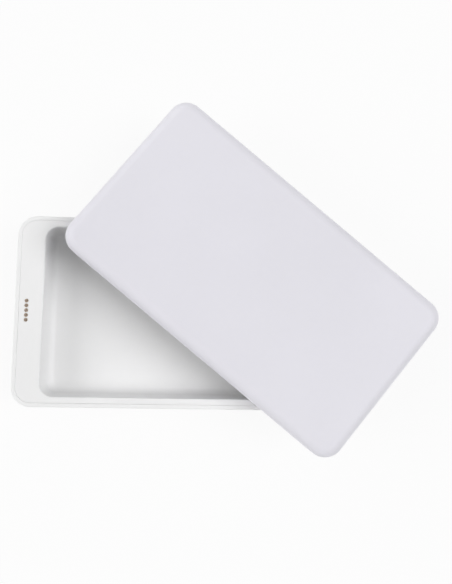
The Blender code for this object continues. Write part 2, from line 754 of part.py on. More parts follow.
def make_contacts(looks):
    """Five barrels flush with the deck, each with a sprung pin that stands a little proud."""
    length = DECK_TOP - BOARD_TOP - SEAT_GAP
    barrel_profile = [
        (BARREL_RADIUS, -length),
        (BARREL_RADIUS, 0.0),
        (BARREL_BORE, 0.0),
        (BARREL_BORE, -BARREL_BORE_DEPTH),
    ]
    pin_foot = [(PIN_RADIUS, PIN_PROUD - PIN_LENGTH)]
    pin_profile = pin_foot + domed_end(PIN_RADIUS, PIN_PROUD, PIN_DOME)
    level = FOOT_PROUD + DECK_TOP
    for number, y in contact_places():
        bm = bmesh.new()
        turned(bm, barrel_profile, FINE_FACETS)
        barrel = new_object(f"contact_barrel_{number}", bm, looks["gold"])
        put(barrel, (CONTACT_X, y, level))
        bm = bmesh.new()
        turned(bm, pin_profile, FINE_FACETS)
        pin = new_object(f"contact_pin_{number}", bm, looks["gold"])
        put(pin, (CONTACT_X, y, level))


def add_chips(bm, foot):
    """A chip on each side of the row of contacts, sunk a little into its board."""
    half_chip = CHIP_SIZE / 2
    top = BOARD_THICKNESS + CHIP_HEIGHT
    for y in (-CHIP_Y, CHIP_Y):
        box(bm, (-half_chip, y - half_chip, foot), (half_chip, y + half_chip, top))


def make_main_board(looks):
    """The board in the left end, with its light and its larger chips."""
    half_width = END_ZONE_HALF - BOARD_SIDE_CLEARANCE
    bm = bmesh.new()
    box(bm, (-half_width, -BOARD_HALF, 0.0), (half_width, BOARD_HALF, BOARD_THICKNESS))
    board = new_object("main_board", bm, looks["board_green"])
    foot = BOARD_THICKNESS - PART_SUNK
    parts = bmesh.new()
    led_near = light_inner_x() + SEAT_GAP + END_ZONE_X
    led_top = BOARD_THICKNESS + LED_HEIGHT
    low = (led_near, LIGHT_Y - LED_WIDTH / 2, foot)
    box(parts, low, (led_near + LED_DEPTH, LIGHT_Y + LED_WIDTH / 2, led_top))
    add_chips(parts, foot)
    combine(board, parts, "UNION")
    put(board, (-END_ZONE_X, 0.0, FOOT_PROUD + BOARD_HEIGHT))


def make_usb_socket(looks):
    """The power socket: a metal can with round ends, a deep mouth and a tongue."""
    half_width = SOCKET_WIDTH / 2
    half_height = SOCKET_HEIGHT / 2
    mouth_width = half_width - SOCKET_WALL
    mouth_height = half_height - SOCKET_WALL
    bm = bmesh.new()
    skin(bm, [
        stadium(half_width, half_height, -SOCKET_DEPTH),
        stadium(half_width, half_height, 0.0),
        stadium(mouth_width, mouth_height, 0.0),
        stadium(mouth_width, mouth_height, -SOCKET_MOUTH_DEPTH),
    ])
    socket = new_object("usb_socket", bm, looks["steel"])
    tongue = bmesh.new()
    low = (-SOCKET_TONGUE_THICKNESS / 2, -SOCKET_TONGUE_WIDTH / 2, -SOCKET_MOUTH_DEPTH - SOCKET_WALL)
    high_z = SOCKET_TONGUE_LENGTH - SOCKET_MOUTH_DEPTH
    box(tongue, low, (SOCKET_TONGUE_THICKNESS / 2, SOCKET_TONGUE_WIDTH / 2, high_z))
    combine(socket, tongue, "UNION")
    face = end_wall_x(socket_z()) + SOCKET_SUNK
    turn = (0.0, math.radians(-90.0), 0.0)
    put(socket, (face, SOCKET_Y, FOOT_PROUD + socket_z()), turn)


def flange_outer_x():
    """Where the button's flange meets the inside of the end wall."""
    lowest = button_z() - BUTTON_RADIUS - BUTTON_FLANGE
    return end_wall_inner_x(lowest) + SEAT_GAP


def flange_inner_x():
    """The inner face of the button's flange."""
    return flange_outer_x() + BUTTON_FLANGE_THICKNESS


def make_power_button(looks):
    """The cap of the button, kept in the wall by its flange."""
    stem = flange_outer_x() - end_wall_x(button_z())
    crown = stem + BUTTON_PROUD
    flange = [
        (BUTTON_RADIUS + BUTTON_FLANGE, -BUTTON_FLANGE_THICKNESS),
        (BUTTON_RADIUS + BUTTON_FLANGE, 0.0),
        (BUTTON_RADIUS, 0.0),
    ]
    bm = bmesh.new()
    turned(bm, flange + domed_end(BUTTON_RADIUS, crown, BUTTON_DOME))
    cap = new_object("power_button", bm, looks["button_grey"])
    turn = (0.0, math.radians(-90.0), 0.0)
    put(cap, (flange_outer_x(), BUTTON_Y, FOOT_PROUD + button_z()), turn)


def switch_face_x():
    """The outer face of the switch, behind the button."""
    return flange_inner_x() + SEAT_GAP + PLUNGER_OUT


def make_switch(looks):
    """The switch on the board, and the plunger that the button pushes into it."""
    half_width = SWITCH_WIDTH / 2
    half_height = SWITCH_HEIGHT / 2
    bm = bmesh.new()
    box(bm, (-half_height, -half_width, -SWITCH_DEPTH), (half_height, half_width, 0.0))
    body = new_object("switch_body", bm, looks["black_plastic"])
    pocket = bmesh.new()
    radius = PLUNGER_RADIUS + SEAT_GAP
    floor = -(PLUNGER_IN + BUTTON_TRAVEL + SEAT_GAP)
    turned(pocket, [(radius, floor), (radius, CUT_OVERRUN)], FINE_FACETS)
    combine(body, pocket, "DIFFERENCE")
    turn = (0.0, math.radians(-90.0), 0.0)
    place = (switch_face_x(), BUTTON_Y, FOOT_PROUD + button_z())
    put(body, place, turn)
    bm = bmesh.new()
    turned(bm, [(PLUNGER_RADIUS, -PLUNGER_IN), (PLUNGER_RADIUS, PLUNGER_OUT)], FINE_FACETS)
    plunger = new_object("switch_plunger", bm, looks["button_grey"])
    put(plunger, place, turn)


def light_inner_x():
    """The inner end of the light pipe."""
    return end_wall_x(button_z()) + LIGHT_LENGTH


def make_light_pipe(looks):
    """A clear rod that carries the board's light through the end wall."""
    bm = bmesh.new()
    turned(bm, [
        (LIGHT_RADIUS, 0.0),
        (LIGHT_RADIUS, LIGHT_LENGTH),
        (LIGHT_RADIUS - LIGHT_DOME, LIGHT_LENGTH + LIGHT_DOME),
    ], FINE_FACETS)
    rod = new_object("light_pipe", bm, looks["clear"])
    turn = (0.0, math.radians(-90.0), 0.0)
    put(rod, (light_inner_x(), LIGHT_Y, FOOT_PROUD + button_z()), turn)


def make_charging(looks):
    """The charging coil under the cavity's floor, with its ferrite sheet below it."""
    coil_top = TRAY_UNDERSIDE - SEAT_GAP
    coil_foot = coil_top - COIL_THICKNESS
    bm = bmesh.new()
    turned(bm, [
        (COIL_OUTER_RADIUS, 0.0),
        (COIL_OUTER_RADIUS, COIL_THICKNESS),
        (COIL_INNER_RADIUS, COIL_THICKNESS),
        (COIL_INNER_RADIUS, 0.0),
    ], WIDE_FACETS, closed=True)
    coil = new_object("charging_coil", bm, looks["copper"])
    put(coil, (0.0, 0.0, FOOT_PROUD + coil_foot))
    half = FERRITE_SIDE / 2
    bm = bmesh.new()
    skin(bm, [rounded_rectangle(half, half, FERRITE_CORNER, z) for z in (0.0, FERRITE_THICKNESS)])
    sheet = new_object("ferrite_sheet", bm, looks["ferrite"])
    put(sheet, (0.0, 0.0, FOOT_PROUD + coil_foot - SEAT_GAP - FERRITE_THICKNESS))


def make_base_ribbon(looks):
    """A flat cable from the main board down to the floor and along to the charging coil."""
    lap_end = -END_ZONE_X + RIBBON_LAP / 2
    lap_start = lap_end - RIBBON_LAP
    top = BOARD_HEIGHT - SEAT_GAP
    low = BASE_FLOOR + SEAT_GAP + RIBBON_THICKNESS
    fold = lap_end + RIBBON_DROP_RUN
    far = -COIL_INNER_RADIUS
    upper = [(lap_start, top), (lap_end, top), (fold, low), (far, low)]
    lower = [
        (far, low - RIBBON_THICKNESS),
        (fold - RIBBON_THICKNESS, low - RIBBON_THICKNESS),
        (lap_end - RIBBON_THICKNESS, top - RIBBON_THICKNESS),
        (lap_start, top - RIBBON_THICKNESS),
    ]
    bm = bmesh.new()
    along_y(bm, upper + lower, -RIBBON_WIDTH / 2, RIBBON_WIDTH / 2)
    ribbon = new_object("base_ribbon", bm, looks["ribbon"])
    put(ribbon, (0.0, RIBBON_Y, FOOT_PROUD))


def make_lid_pivot():
    """An empty at the foot of the screw that the lid turns about. It carries the whole lid."""
    pivot = bpy.data.objects.new("lid_pivot", None)
    bpy.context.scene.collection.objects.link(pivot)
    pivot.location = (LINER_SCREW_X, -LINER_SCREW_Y, LID_LEVEL)
    pivot.rotation_euler = (0.0, 0.0, LID_TURN)
    return pivot


def lid_place(x, y, z=0.0):
    """A place in the closed lid, as the turned empty sees it."""
    return (x - LINER_SCREW_X, y + LINER_SCREW_Y, z)


def lid_shell_rings():
    """Levels of the lid's cover: from its crown down the outside, and up again inside."""
    rings = []
    shoulder = LID_HEIGHT - LID_CROWN
    wall_top = shoulder - LID_TOP_ROUND
    top_inset = lid_wall_inset(wall_top)
    brow = top_inset + LID_TOP_ROUND
    crown_reach = BOX_WIDTH / 2 - brow
    for share in LID_CROWN_SHARES:
        rise = LID_CROWN * (1.0 - (1.0 - share) ** 2)
        rings.append(plan_ring(BOX_PLAN, brow + crown_reach * share, shoulder + rise))
    for across, rise in reversed(quarter(LID_TOP_ROUND, BROW_STEPS)):
        rings.append(plan_ring(BOX_PLAN, top_inset + across, wall_top + rise))
    rings.append(plan_ring(BOX_PLAN, lid_wall_inset(LID_LOWER_ROUND), LID_LOWER_ROUND))
    rings.append(plan_ring(BOX_PLAN, LID_INSET + LID_LOWER_ROUND, 0.0))
    ring_inset = LID_INSET + RING_WIDTH
    ledge_foot = RIM_PLATE + SEAT_GAP
    ledge_top = ledge_foot + LEDGE_DEPTH
    blend = ledge_top + LEDGE_WIDTH
    rings.append(plan_ring(BOX_PLAN, ring_inset, 0.0))
    rings.append(plan_ring(BOX_PLAN, ring_inset, ledge_foot))
    rings.append(plan_ring(BOX_PLAN, ring_inset + LEDGE_WIDTH, ledge_foot))
    rings.append(plan_ring(BOX_PLAN, ring_inset + LEDGE_WIDTH, ledge_top))
    rings.append(plan_ring(BOX_PLAN, lid_wall_inset(blend) + WALL, blend))
    high = LID_INNER_TOP - LID_INNER_ROUND
    inner_inset = lid_wall_inset(high) + WALL
    for across, rise in quarter(LID_INNER_ROUND, EDGE_STEPS):
        rings.append(plan_ring(BOX_PLAN, inner_inset + across, high + rise))
    return rings


def liner_boss_top():
    """The top of the liner's screw bosses, above the lid's lower face."""
    return CEILING_TOP + LINER_BOSS_HEIGHT


def make_lid_shell(looks, pivot):
    """The lid's cover, with four bosses inside for the liner's screws."""
    bm = bmesh.new()
    skin(bm, lid_shell_rings())
    shell = new_object("lid_shell", bm, looks["lid_white"])
    bosses = bmesh.new()
    boss_radius = SCREW_HOLE_RADIUS + SCREW_BOSS_WALL
    boss_foot = liner_boss_top() + SEAT_GAP
    boss_head = LID_INNER_TOP + WALL / 2
    pilot_end = LID_INNER_TOP
    pilots = bmesh.new()
    for _, x, y in corners_of(LINER_SCREW_X, LINER_SCREW_Y):
        profile = [(boss_radius, boss_foot), (boss_radius, boss_head)]
        turned(bosses, profile, BOSS_FACETS, place=at(x, y))
        profile = [(SCREW_HOLE_RADIUS, boss_foot - CUT_OVERRUN), (SCREW_HOLE_RADIUS, pilot_end)]
        turned(pilots, profile, FINE_FACETS, place=at(x, y))
    combine(shell, bosses, "UNION")
    combine(shell, pilots, "DIFFERENCE")
    put(shell, lid_place(0.0, 0.0), None, pivot)


def make_lid_liner(looks, pivot):
    """The lid's underside: a rim plate with a recess, and the grille under the lamps."""
    edge_inset = LID_INSET + RING_WIDTH + SEAM_GAP
    liner = moulding("lid_liner", looks["tray_white"], RECESS_DEPTH, RECESS_FILLET, edge_inset)
    combine(liner, liner_bosses(), "UNION")
    combine(liner, liner_cuts(), "DIFFERENCE")
    combine(liner, grille_cuts(), "DIFFERENCE")
    upside_down = (math.radians(180.0), 0.0, 0.0)
    put(liner, lid_place(0.0, 0.0), upside_down, pivot)


def liner_bosses():
    """Bosses behind the liner: screws, magnets and the two posts of the lid's board."""
    bm = bmesh.new()
    boss_radius = COUNTERBORE_RADIUS + SCREW_BOSS_WALL / 2
    boss_start = -(CEILING + MOULDING_WALL / 2)
    for _, x, y in corners_of(LINER_SCREW_X, LINER_SCREW_Y):
        profile = [(boss_radius, -liner_boss_top()), (boss_radius, boss_start)]
        turned(bm, profile, BOSS_FACETS, place=at(x, y))
    magnet_end = -(magnet_pocket_depth() + SEAT_GAP)
    for _, x, y in corners_of(END_ZONE_X, MAGNET_Y):
        profile = [(MAGNET_BOSS_RADIUS, magnet_end), (MAGNET_BOSS_RADIUS, -RIM_PLATE / 2)]
        turned(bm, profile, BOSS_FACETS, place=at(x, y))
    for y in (-LID_POST_Y, LID_POST_Y):
        profile = [(POST_RADIUS, -PAD_LENGTH), (POST_RADIUS, -RIM_PLATE / 2)]
        turned(bm, profile, FINE_FACETS, place=at(-END_ZONE_X, y))
    return bm


def liner_cuts():
    """Holes of the pads, bores of the screws and pockets of the magnets."""
    bm = bmesh.new()
    hole = PAD_RADIUS + PAD_GAP
    for _, y in contact_places():
        profile = [(hole, -RIM_PLATE - CUT_OVERRUN), (hole, CUT_OVERRUN)]
        turned(bm, profile, FINE_FACETS, place=at(CONTACT_X, y))
    seat = CEILING + SCREW_SUNK + SCREW_HEAD_HEIGHT + SEAT_GAP
    profile = [
        (SCREW_HOLE_RADIUS, -liner_boss_top() - CUT_OVERRUN),
        (SCREW_HOLE_RADIUS, -seat),
        (COUNTERBORE_RADIUS, -seat),
        (COUNTERBORE_RADIUS, CUT_OVERRUN - CEILING),
    ]
    for _, x, y in corners_of(LINER_SCREW_X, LINER_SCREW_Y):
        turned(bm, profile, FINE_FACETS, place=at(x, y))
    pocket_start = -(magnet_pocket_depth() + SEAT_GAP + CUT_OVERRUN)
    for _, x, y in corners_of(END_ZONE_X, MAGNET_Y):
        profile = [(MAGNET_POCKET_RADIUS, pocket_start), (MAGNET_POCKET_RADIUS, -MAGNET_SKIN)]
        turned(bm, profile, BOSS_FACETS, place=at(x, y))
    return bm


def grille_cuts():
    """A row of slots through the recess's ceiling, under the lamps."""
    bm = bmesh.new()
    reach = LAMP_SPAN / 2 - HOLDER_THICKNESS / 2 - GRILLE_END_MARGIN
    count = int(2 * reach / GRILLE_PITCH)
    half_slot = GRILLE_SLOT / 2
    half_length = GRILLE_SLOT_LENGTH / 2
    low = -(CEILING_TOP + CUT_OVERRUN)
    high = CUT_OVERRUN - CEILING
    for index in range(count):
        x = (index - (count - 1) / 2) * GRILLE_PITCH
        box(bm, (x - half_slot, -half_length, low), (x + half_slot, half_length, high))
    return bm


def make_liner_screws(looks, pivot):
    """Four screws up through the liner. The front right one is the lid's turning point."""
    level = CEILING + SCREW_SUNK
    for name, x, y in corners_of(LINER_SCREW_X, LINER_SCREW_Y):
        bm = bmesh.new()
        turned(bm, screw_profile(LINER_SCREW_LENGTH), FINE_FACETS)
        screw = new_object("liner_screw_" + name, bm, looks["steel"])
        put(screw, lid_place(x, y, level), None, pivot)


def make_lid_magnets(looks, pivot):
    """Four disc magnets that face the base's when the box is closed."""
    level = MAGNET_SKIN + SEAT_GAP
    for name, x, y in corners_of(END_ZONE_X, MAGNET_Y):
        disc = magnet("lid_magnet_" + name, looks["magnet"])
        put(disc, lid_place(x, y, level), None, pivot)


def make_contact_pads(looks, pivot):
    """Five flat pads, flush with the lid's lower face, with stems up to the lid's board."""
    for number, y in contact_places():
        bm = bmesh.new()
        turned(bm, [(PAD_RADIUS, 0.0), (PAD_RADIUS, PAD_LENGTH)], FINE_FACETS)
        pad = new_object(f"contact_pad_{number}", bm, looks["gold"])
        put(pad, lid_place(CONTACT_X, y), None, pivot)


def make_lid_board(looks, pivot):
    """The board that drives the lamps, above the pads."""
    half_width = END_ZONE_HALF - BOARD_SIDE_CLEARANCE
    half_length = LID_POST_Y + LID_POST_FROM_END
    bm = bmesh.new()
    box(bm, (-half_width, -half_length, 0.0), (half_width, half_length, BOARD_THICKNESS))
    board = new_object("lid_driver_board", bm, looks["board_green"])
    parts = bmesh.new()
    add_chips(parts, BOARD_THICKNESS - PART_SUNK)
    combine(board, parts, "UNION")
    put(board, lid_place(-END_ZONE_X, 0.0, PAD_LENGTH + SEAT_GAP), None, pivot)


def make_lamps(looks, pivot):
    """Two lamp tubes that lie side by side, with thinner metal ends."""
    half = LAMP_SPAN / 2
    glass = half - HOLDER_THICKNESS / 2 - LAMP_GLASS_CLEARANCE - LAMP_NECK
    profile = [
        (LAMP_CAP_RADIUS, -half),
        (LAMP_CAP_RADIUS, -glass - LAMP_NECK),
        (LAMP_RADIUS, -glass),
        (LAMP_RADIUS, glass),
        (LAMP_CAP_RADIUS, glass + LAMP_NECK),
        (LAMP_CAP_RADIUS, half),
    ]
    turn = (0.0, math.radians(90.0), 0.0)
    for side, y in (("front", -LAMP_SPACING / 2), ("back", LAMP_SPACING / 2)):
        bm = bmesh.new()
        turned(bm, profile, FINE_FACETS)
        lamp = new_object("uv_lamp_" + side, bm, looks["lamp_glass"])
        put(lamp, lid_place(0.0, y, LAMP_Z), turn, pivot)


def make_lamp_holders(looks, pivot):
    """Two white blocks that hold the ends of both lamps."""
    half_length = LAMP_SPACING / 2 + LAMP_CAP_RADIUS + LAMP_HOLE_GAP + HOLDER_MARGIN
    half_height = (LID_INNER_TOP - CEILING_TOP) / 2 - SEAT_GAP
    half_depth = HOLDER_THICKNESS / 2
    hole = LAMP_CAP_RADIUS + LAMP_HOLE_GAP
    reach = half_depth + CUT_OVERRUN
    across = Matrix.Rotation(math.radians(90.0), 4, "Y")
    for side, x in (("left", -HOLDER_X), ("right", HOLDER_X)):
        bm = bmesh.new()
        low = (-half_depth, -half_length, -half_height)
        box(bm, low, (half_depth, half_length, half_height))
        holder = new_object("lamp_holder_" + side, bm, looks["board_white"])
        holes = bmesh.new()
        for y in (-LAMP_SPACING / 2, LAMP_SPACING / 2):
            turned(holes, [(hole, -reach), (hole, reach)], FINE_FACETS, place=at(0.0, y) @ across)
        combine(holder, holes, "DIFFERENCE")
        put(holder, lid_place(x, 0.0, LAMP_Z), None, pivot)


def make_reflector(looks, pivot):
    """A bright folded sheet over the lamps, with a flange along each side."""
    foot = CEILING_TOP + SEAT_GAP
    top = LID_INNER_TOP - SEAT_GAP
    mouth = REFLECTOR_MOUTH / 2
    crest = REFLECTOR_TOP / 2
    flange = mouth + REFLECTOR_FLANGE
    over = foot + REFLECTOR_SHEET
    under = top - REFLECTOR_SHEET
    right = [
        (mouth, foot),
        (flange, foot),
        (flange, over),
        (mouth + REFLECTOR_SHEET, over),
        (crest + REFLECTOR_SHEET, top),
    ]
    left = [(-y, z) for y, z in reversed(right)]
    outline = right + left + [(-crest, under), (crest, under)]
    end = HOLDER_X - HOLDER_THICKNESS / 2 - SEAT_GAP
    bm = bmesh.new()
    along_x(bm, outline, -end, end)
    sheet = new_object("reflector", bm, looks["mirror"])
    put(sheet, lid_place(0.0, 0.0), None, pivot)


def build():
    """Makes the base, then the lid on its turned empty."""
    clear_scene()
    looks = make_materials()
    make_base_shell(looks)
    make_base_tray(looks)
    make_feet(looks)
    make_base_screws(looks)
    make_base_magnets(looks)
    make_contact_block(looks)
    make_contacts(looks)
    make_main_board(looks)
    make_usb_socket(looks)
    make_power_button(looks)
    make_switch(looks)
    make_light_pipe(looks)
    make_charging(looks)
    make_base_ribbon(looks)
    pivot = make_lid_pivot()
    make_lid_shell(looks, pivot)
    make_lid_liner(looks, pivot)
    make_liner_screws(looks, pivot)
    make_lid_magnets(looks, pivot)
    make_contact_pads(looks, pivot)
    make_lid_board(looks, pivot)
    make_lamps(looks, pivot)
    make_lamp_holders(looks, pivot)
    make_reflector(looks, pivot)


build()
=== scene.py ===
"""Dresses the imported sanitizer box: finer mouldings, materials, soft light and the camera.

All lengths are in metres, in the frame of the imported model.
"""

import math

import bmesh
import bpy
from mathutils import Matrix, Vector


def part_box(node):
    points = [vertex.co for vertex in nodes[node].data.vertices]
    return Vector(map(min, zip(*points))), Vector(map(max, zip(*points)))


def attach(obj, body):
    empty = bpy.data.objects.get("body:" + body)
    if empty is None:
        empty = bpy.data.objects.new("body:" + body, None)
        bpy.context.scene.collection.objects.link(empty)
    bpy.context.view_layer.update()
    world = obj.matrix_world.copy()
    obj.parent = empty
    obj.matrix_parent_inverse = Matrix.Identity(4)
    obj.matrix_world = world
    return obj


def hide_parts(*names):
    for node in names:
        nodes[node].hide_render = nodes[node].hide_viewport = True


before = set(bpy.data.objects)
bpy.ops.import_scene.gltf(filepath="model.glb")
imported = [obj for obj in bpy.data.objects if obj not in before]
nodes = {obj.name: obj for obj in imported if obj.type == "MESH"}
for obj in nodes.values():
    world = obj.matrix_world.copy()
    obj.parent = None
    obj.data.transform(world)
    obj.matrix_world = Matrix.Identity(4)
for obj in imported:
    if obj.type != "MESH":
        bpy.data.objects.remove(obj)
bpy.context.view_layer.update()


def middle_y(name):
    """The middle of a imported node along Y."""
    return sum(corner.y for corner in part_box(name)) / 2


# Plans: half the length, half the width and the corner radius
BOX_PLAN = (0.104, 0.058, 0.012)
CAVITY_PLAN = (0.087, 0.0517, 0.008)
SMALLEST_RADIUS = 0.0005

# Levels, walls and gaps of the two halves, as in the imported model
SOLE = 0.0010
BASE_HEIGHT = 0.026
BASE_FLOOR = 0.0022
LID_LEVEL = 0.0273
LID_HEIGHT = 0.023
LID_INSET = 0.0001
LID_TURN = math.radians(-38.7)
WALL = 0.0022
MOULDING_WALL = 0.0018
RIM_PLATE = 0.0020
RING_WIDTH = 0.0025
LEDGE_WIDTH = 0.0011
LEDGE_DEPTH = 0.0020
CAVITY_DEPTH = 0.018
RECESS_DEPTH = 0.008
GAP = 0.0003
CONTACT_GAP = 0.00015
SEAM = 0.00008

# Leans of the walls: how far they draw in for each metre of height
BASE_LEAN = math.tan(math.radians(1.5))
CAVITY_LEAN = math.tan(math.radians(5.0))
LID_LEAN = math.tan(math.radians(1.2))

# Rounds and bevels
BASE_TOP_ROUND = 0.0006
BASE_BOTTOM_ROUND = 0.0040
BASE_INNER_ROUND = 0.0020
CAVITY_FILLET = 0.0040
RECESS_FILLET = 0.0020
RIM_EDGE_ROUND = 0.0008
SEAM_EDGE_ROUND = 0.00012
LID_TOP_ROUND = 0.0068
LID_LOWER_ROUND = 0.0004
LID_INNER_ROUND = 0.0046
LID_CROWN = 0.0005
OPENING_EASE = 0.00025
CONTACT_EASE = 0.00012
BORE_EASE = 0.0003

# Places of what repeats, and of what the left end holds
END_ZONE_X = 0.0946
SCREW_Y = 0.044
LINER_SCREW_X = 0.05135
LINER_SCREW_Y = 0.046
FOOT_X = 0.081
FOOT_Y = 0.043
CONTACT_X = -0.0970
CONTACT_YS = tuple(middle_y(f"contact_pin_{number}") for number in range(1, 6))
END_LEVEL = 0.0135
BUTTON_Y = middle_y("power_button")
LIGHT_Y = middle_y("light_pipe")
SOCKET_LEVEL = 0.01315
SOCKET_Y = middle_y("usb_socket")
LAMP_YS = {"front": -0.0070, "back": 0.0070}
LAMP_LEVEL = 0.01505

# Feet, and the inner radii of the grooves in their soles
FOOT_RADIUS = 0.0050
FOOT_HEIGHT = 0.0018
FOOT_ROUND = 0.0003
FOOT_POCKET = 0.0011
GROOVE_RADII = (0.0012, 0.0031)
GROOVE_WIDTH = 0.0008
GROOVE_SLOPE = 0.0002
GROOVE_DEPTH = 0.00015

# Screws and their seats. A recess is given by depth, half length and half width at each end
SCREW_HEAD_RADIUS = 0.0025
SCREW_HEAD_HEIGHT = 0.0016
SCREW_HEAD_ROUND = 0.0009
SCREW_HEAD_FLATNESS = 0.85
SCREW_SHANK_RADIUS = 0.0012
SCREW_TIP = 0.0006
THREAD_START = 0.0010
THREAD_PITCH = 0.0006
THREAD_DEPTH = 0.0002
CROSS_RECESS = ((-0.0003, 0.00160, 0.00032), (0.0011, 0.00075, 0.00020))
BASE_SCREW_LENGTH = 0.0100
BASE_SCREW_SEAT = 0.0020
LINER_SCREW_LENGTH = 0.0070
LINER_SCREW_SUNK = 0.0003
COUNTERBORE_RADIUS = 0.0028
BORE_RADIUS = 0.0015
BOSS_RADIUS = 0.0048
BOSS_HEIGHT = 0.008
LINER_BOSS_RADIUS = 0.0038
LINER_BOSS_RISE = 0.0020
LINER_BORE_EASE = 0.0002

# Contacts. The dimple of a pad is given by radius and depth
BARREL_RADIUS = 0.00100
BARREL_BORE = 0.00068
BARREL_LENGTH = 0.0145
BARREL_DEPTH = 0.0060
PIN_RADIUS = 0.00050
PIN_PROUD = 0.00025
PIN_LENGTH = 0.0045
PIN_DOME = math.radians(80.0)
PIN_DOME_STEPS = 8
PAD_RADIUS = 0.00095
PAD_LENGTH = 0.0050
PAD_DIMPLE = ((0.00030, 0.00006), (0.00050, 0.00002), (0.00062, 0.0))
CONTACT_BEVEL = 0.0001

# The button. Its dish is given by radius and depth
BUTTON_RADIUS = 0.0040
BUTTON_FLANGE_RADIUS = 0.0050
BUTTON_FLANGE = 0.0008
BUTTON_ROUND = 0.0004
BUTTON_DISH = ((0.0033, 0.0), (0.0031, 0.00004), (0.0024, 0.00014), (0.0012, 0.00020))

# The button's mark. Half its opening is in degrees, and its bar has half width, foot and head
MARK_OUTER = 0.00175
MARK_INNER = 0.00140
MARK_HALF_OPENING = 38.0
MARK_STEPS = 40
MARK_DEPTH = 0.00012
MARK_OVERRUN = 0.0008
MARK_BAR = (0.00018, 0.00055, 0.00215)
MARK_BAR_EDGE = 0.00006

# The light's rod
LIGHT_RADIUS = 0.0012
LIGHT_BEVEL = 0.0001
LIGHT_DOME_RISE = 0.0003
LIGHT_DOME = math.radians(84.0)
LIGHT_DOME_STEPS = 7

# The socket. Its can, its opening and its tongue are given by half sizes
SOCKET_CAN = (0.0045, 0.00165)
SOCKET_OPENING = (0.0048, 0.00195)
SOCKET_WALL = 0.00035
SOCKET_LENGTH = 0.0073
SOCKET_DEPTH = 0.0062
TONGUE = (0.00035, 0.0033)
TONGUE_FRONT = 0.0014
TONGUE_EDGE = 0.00012
FINGERS = 12
FINGER_PITCH = 0.0005
FINGER_HALF_WIDTH = 0.00014
FINGER_LEVELS = (0.00030, 0.00040)
FINGER_ENDS = (-0.0055, -0.0018)
FINGER_EDGE = 0.00004

# The crown of the lid: its steps to the middle, and how its outlines grow rounder on the way
CROWN_STEPS = 23
CROWN_PACE = 1.6
CROWN_ROUNDEST = 0.92
CROWN_LARGEST = 0.96

# The grille: half sizes of a slot
SLOTS = 22
SLOT_PITCH = 0.0060
SLOT = (0.0130, 0.0016)
SLOT_EASE = 0.0004
SLOT_STEPS = 10

# The lid's lamps. A metal end is given by radius and distance from the middle
GLASS_HALF_LENGTH = 0.0687
GLASS_RADIUS = 0.0028
GLASS_END_RADIUS = 0.0020
GLASS_TAPER = 0.0010
GLASS_WALL = 0.0007
LAMP_END = (
    (0.0016, 0.0730),
    (0.0018, 0.0728),
    (0.0018, 0.0700),
    (0.0013, 0.0688),
    (0.0011, 0.0688),
    (0.0011, 0.0655),
    (0.0009, 0.0650),
)

# Levels of the boards' tops, over which the chips stand
MAIN_BOARD_TOP = SOLE + 0.0112
LID_BOARD_TOP = LID_LEVEL + 0.0065
CHIP_MARGIN = 0.00005

# How finely the rounds are made here
CORNER_STEPS = 20
ROUND_STEPS = 12
EDGE_STEPS = 6
HEAD_STEPS = 10
BLOCK_STEPS = 3
CIRCLE = 64
SMALL_CIRCLE = 40
SHARP_ANGLE = math.radians(35.0)
OVERRUN = 0.0010
QUADRANTS = ((1, 1, 0.0), (-1, 1, 90.0), (-1, -1, 180.0), (1, -1, 270.0))

# Floor and background
FLOOR_RADIUS = 40.0
FLOOR_THICKNESS = 0.020
FLOOR_FACETS = 96
FLOOR_COLOR = 0.80
FLOOR_GLOW = 0.91
BACKDROP = 0.975
AMBIENT = 0.23

# Studio lights: azimuth, elevation and width in degrees, share of full light, seen in gloss
STUDIO_LIGHTS = {
    "key": (187.0, 29.0, 38.0, 0.48, False),
    "window": (131.0, 27.0, 60.0, 0.18, True),
    "fill": (-5.0, 48.0, 38.0, 0.54, False),
}

# The camera of the photograph: nearly straight down, a little turned
CAMERA_PLACE = (-0.00075, -0.0161, 0.3964)
CAMERA_TILT = math.radians(4.69)
CAMERA_SWAY = math.radians(3.84)
CAMERA_ROLL = math.radians(1.50)
CAMERA_LENS = 36.86
CAMERA_SENSOR = 36.0
CAMERA_NEAR = 0.01

BASE_PLACE = Matrix.Translation((0.0, 0.0, SOLE))
DECK_PLACE = Matrix.Translation((0.0, 0.0, SOLE + BASE_HEIGHT))
LID_PLACE = (
    Matrix.Translation((LINER_SCREW_X, -LINER_SCREW_Y, LID_LEVEL))
    @ Matrix.Rotation(LID_TURN, 4, "Z")
    @ Matrix.Translation((-LINER_SCREW_X, LINER_SCREW_Y, 0.0))
)
OUTWARD_LEFT = Matrix.Rotation(math.radians(-90.0), 4, "Y")
UPSIDE_DOWN = Matrix.Rotation(math.radians(180.0), 4, "X")


# Mesh helpers


def at(x, y, z=0.0):
    """A plain move."""
    return Matrix.Translation((x, y, z))


def plan_ring(plan, inset, z, radius=None):
    """One level of a moulding: a rounded rectangle drawn in by an inset."""
    half_length = plan[0] - inset
    half_width = plan[1] - inset
    if radius is None:
        radius = max(plan[2] - inset, SMALLEST_RADIUS)
    points = []
    for side_x, side_y, start in QUADRANTS:
        centre_x = side_x * (half_length - radius)
        centre_y = side_y * (half_width - radius)
        for step in range(CORNER_STEPS + 1):
            angle = math.radians(start + 90.0 * step / CORNER_STEPS)
            x = centre_x + radius * math.cos(angle)
            y = centre_y + radius * math.sin(angle)
            points.append(Vector((x, y, z)))
    return points


def circle(radius, z, facets):
    """Points of a circle about the local Z axis."""
    points = []
    for step in range(facets):
        angle = 2.0 * math.pi * step / facets
        points.append(Vector((radius * math.cos(angle), radius * math.sin(angle), z)))
    return points


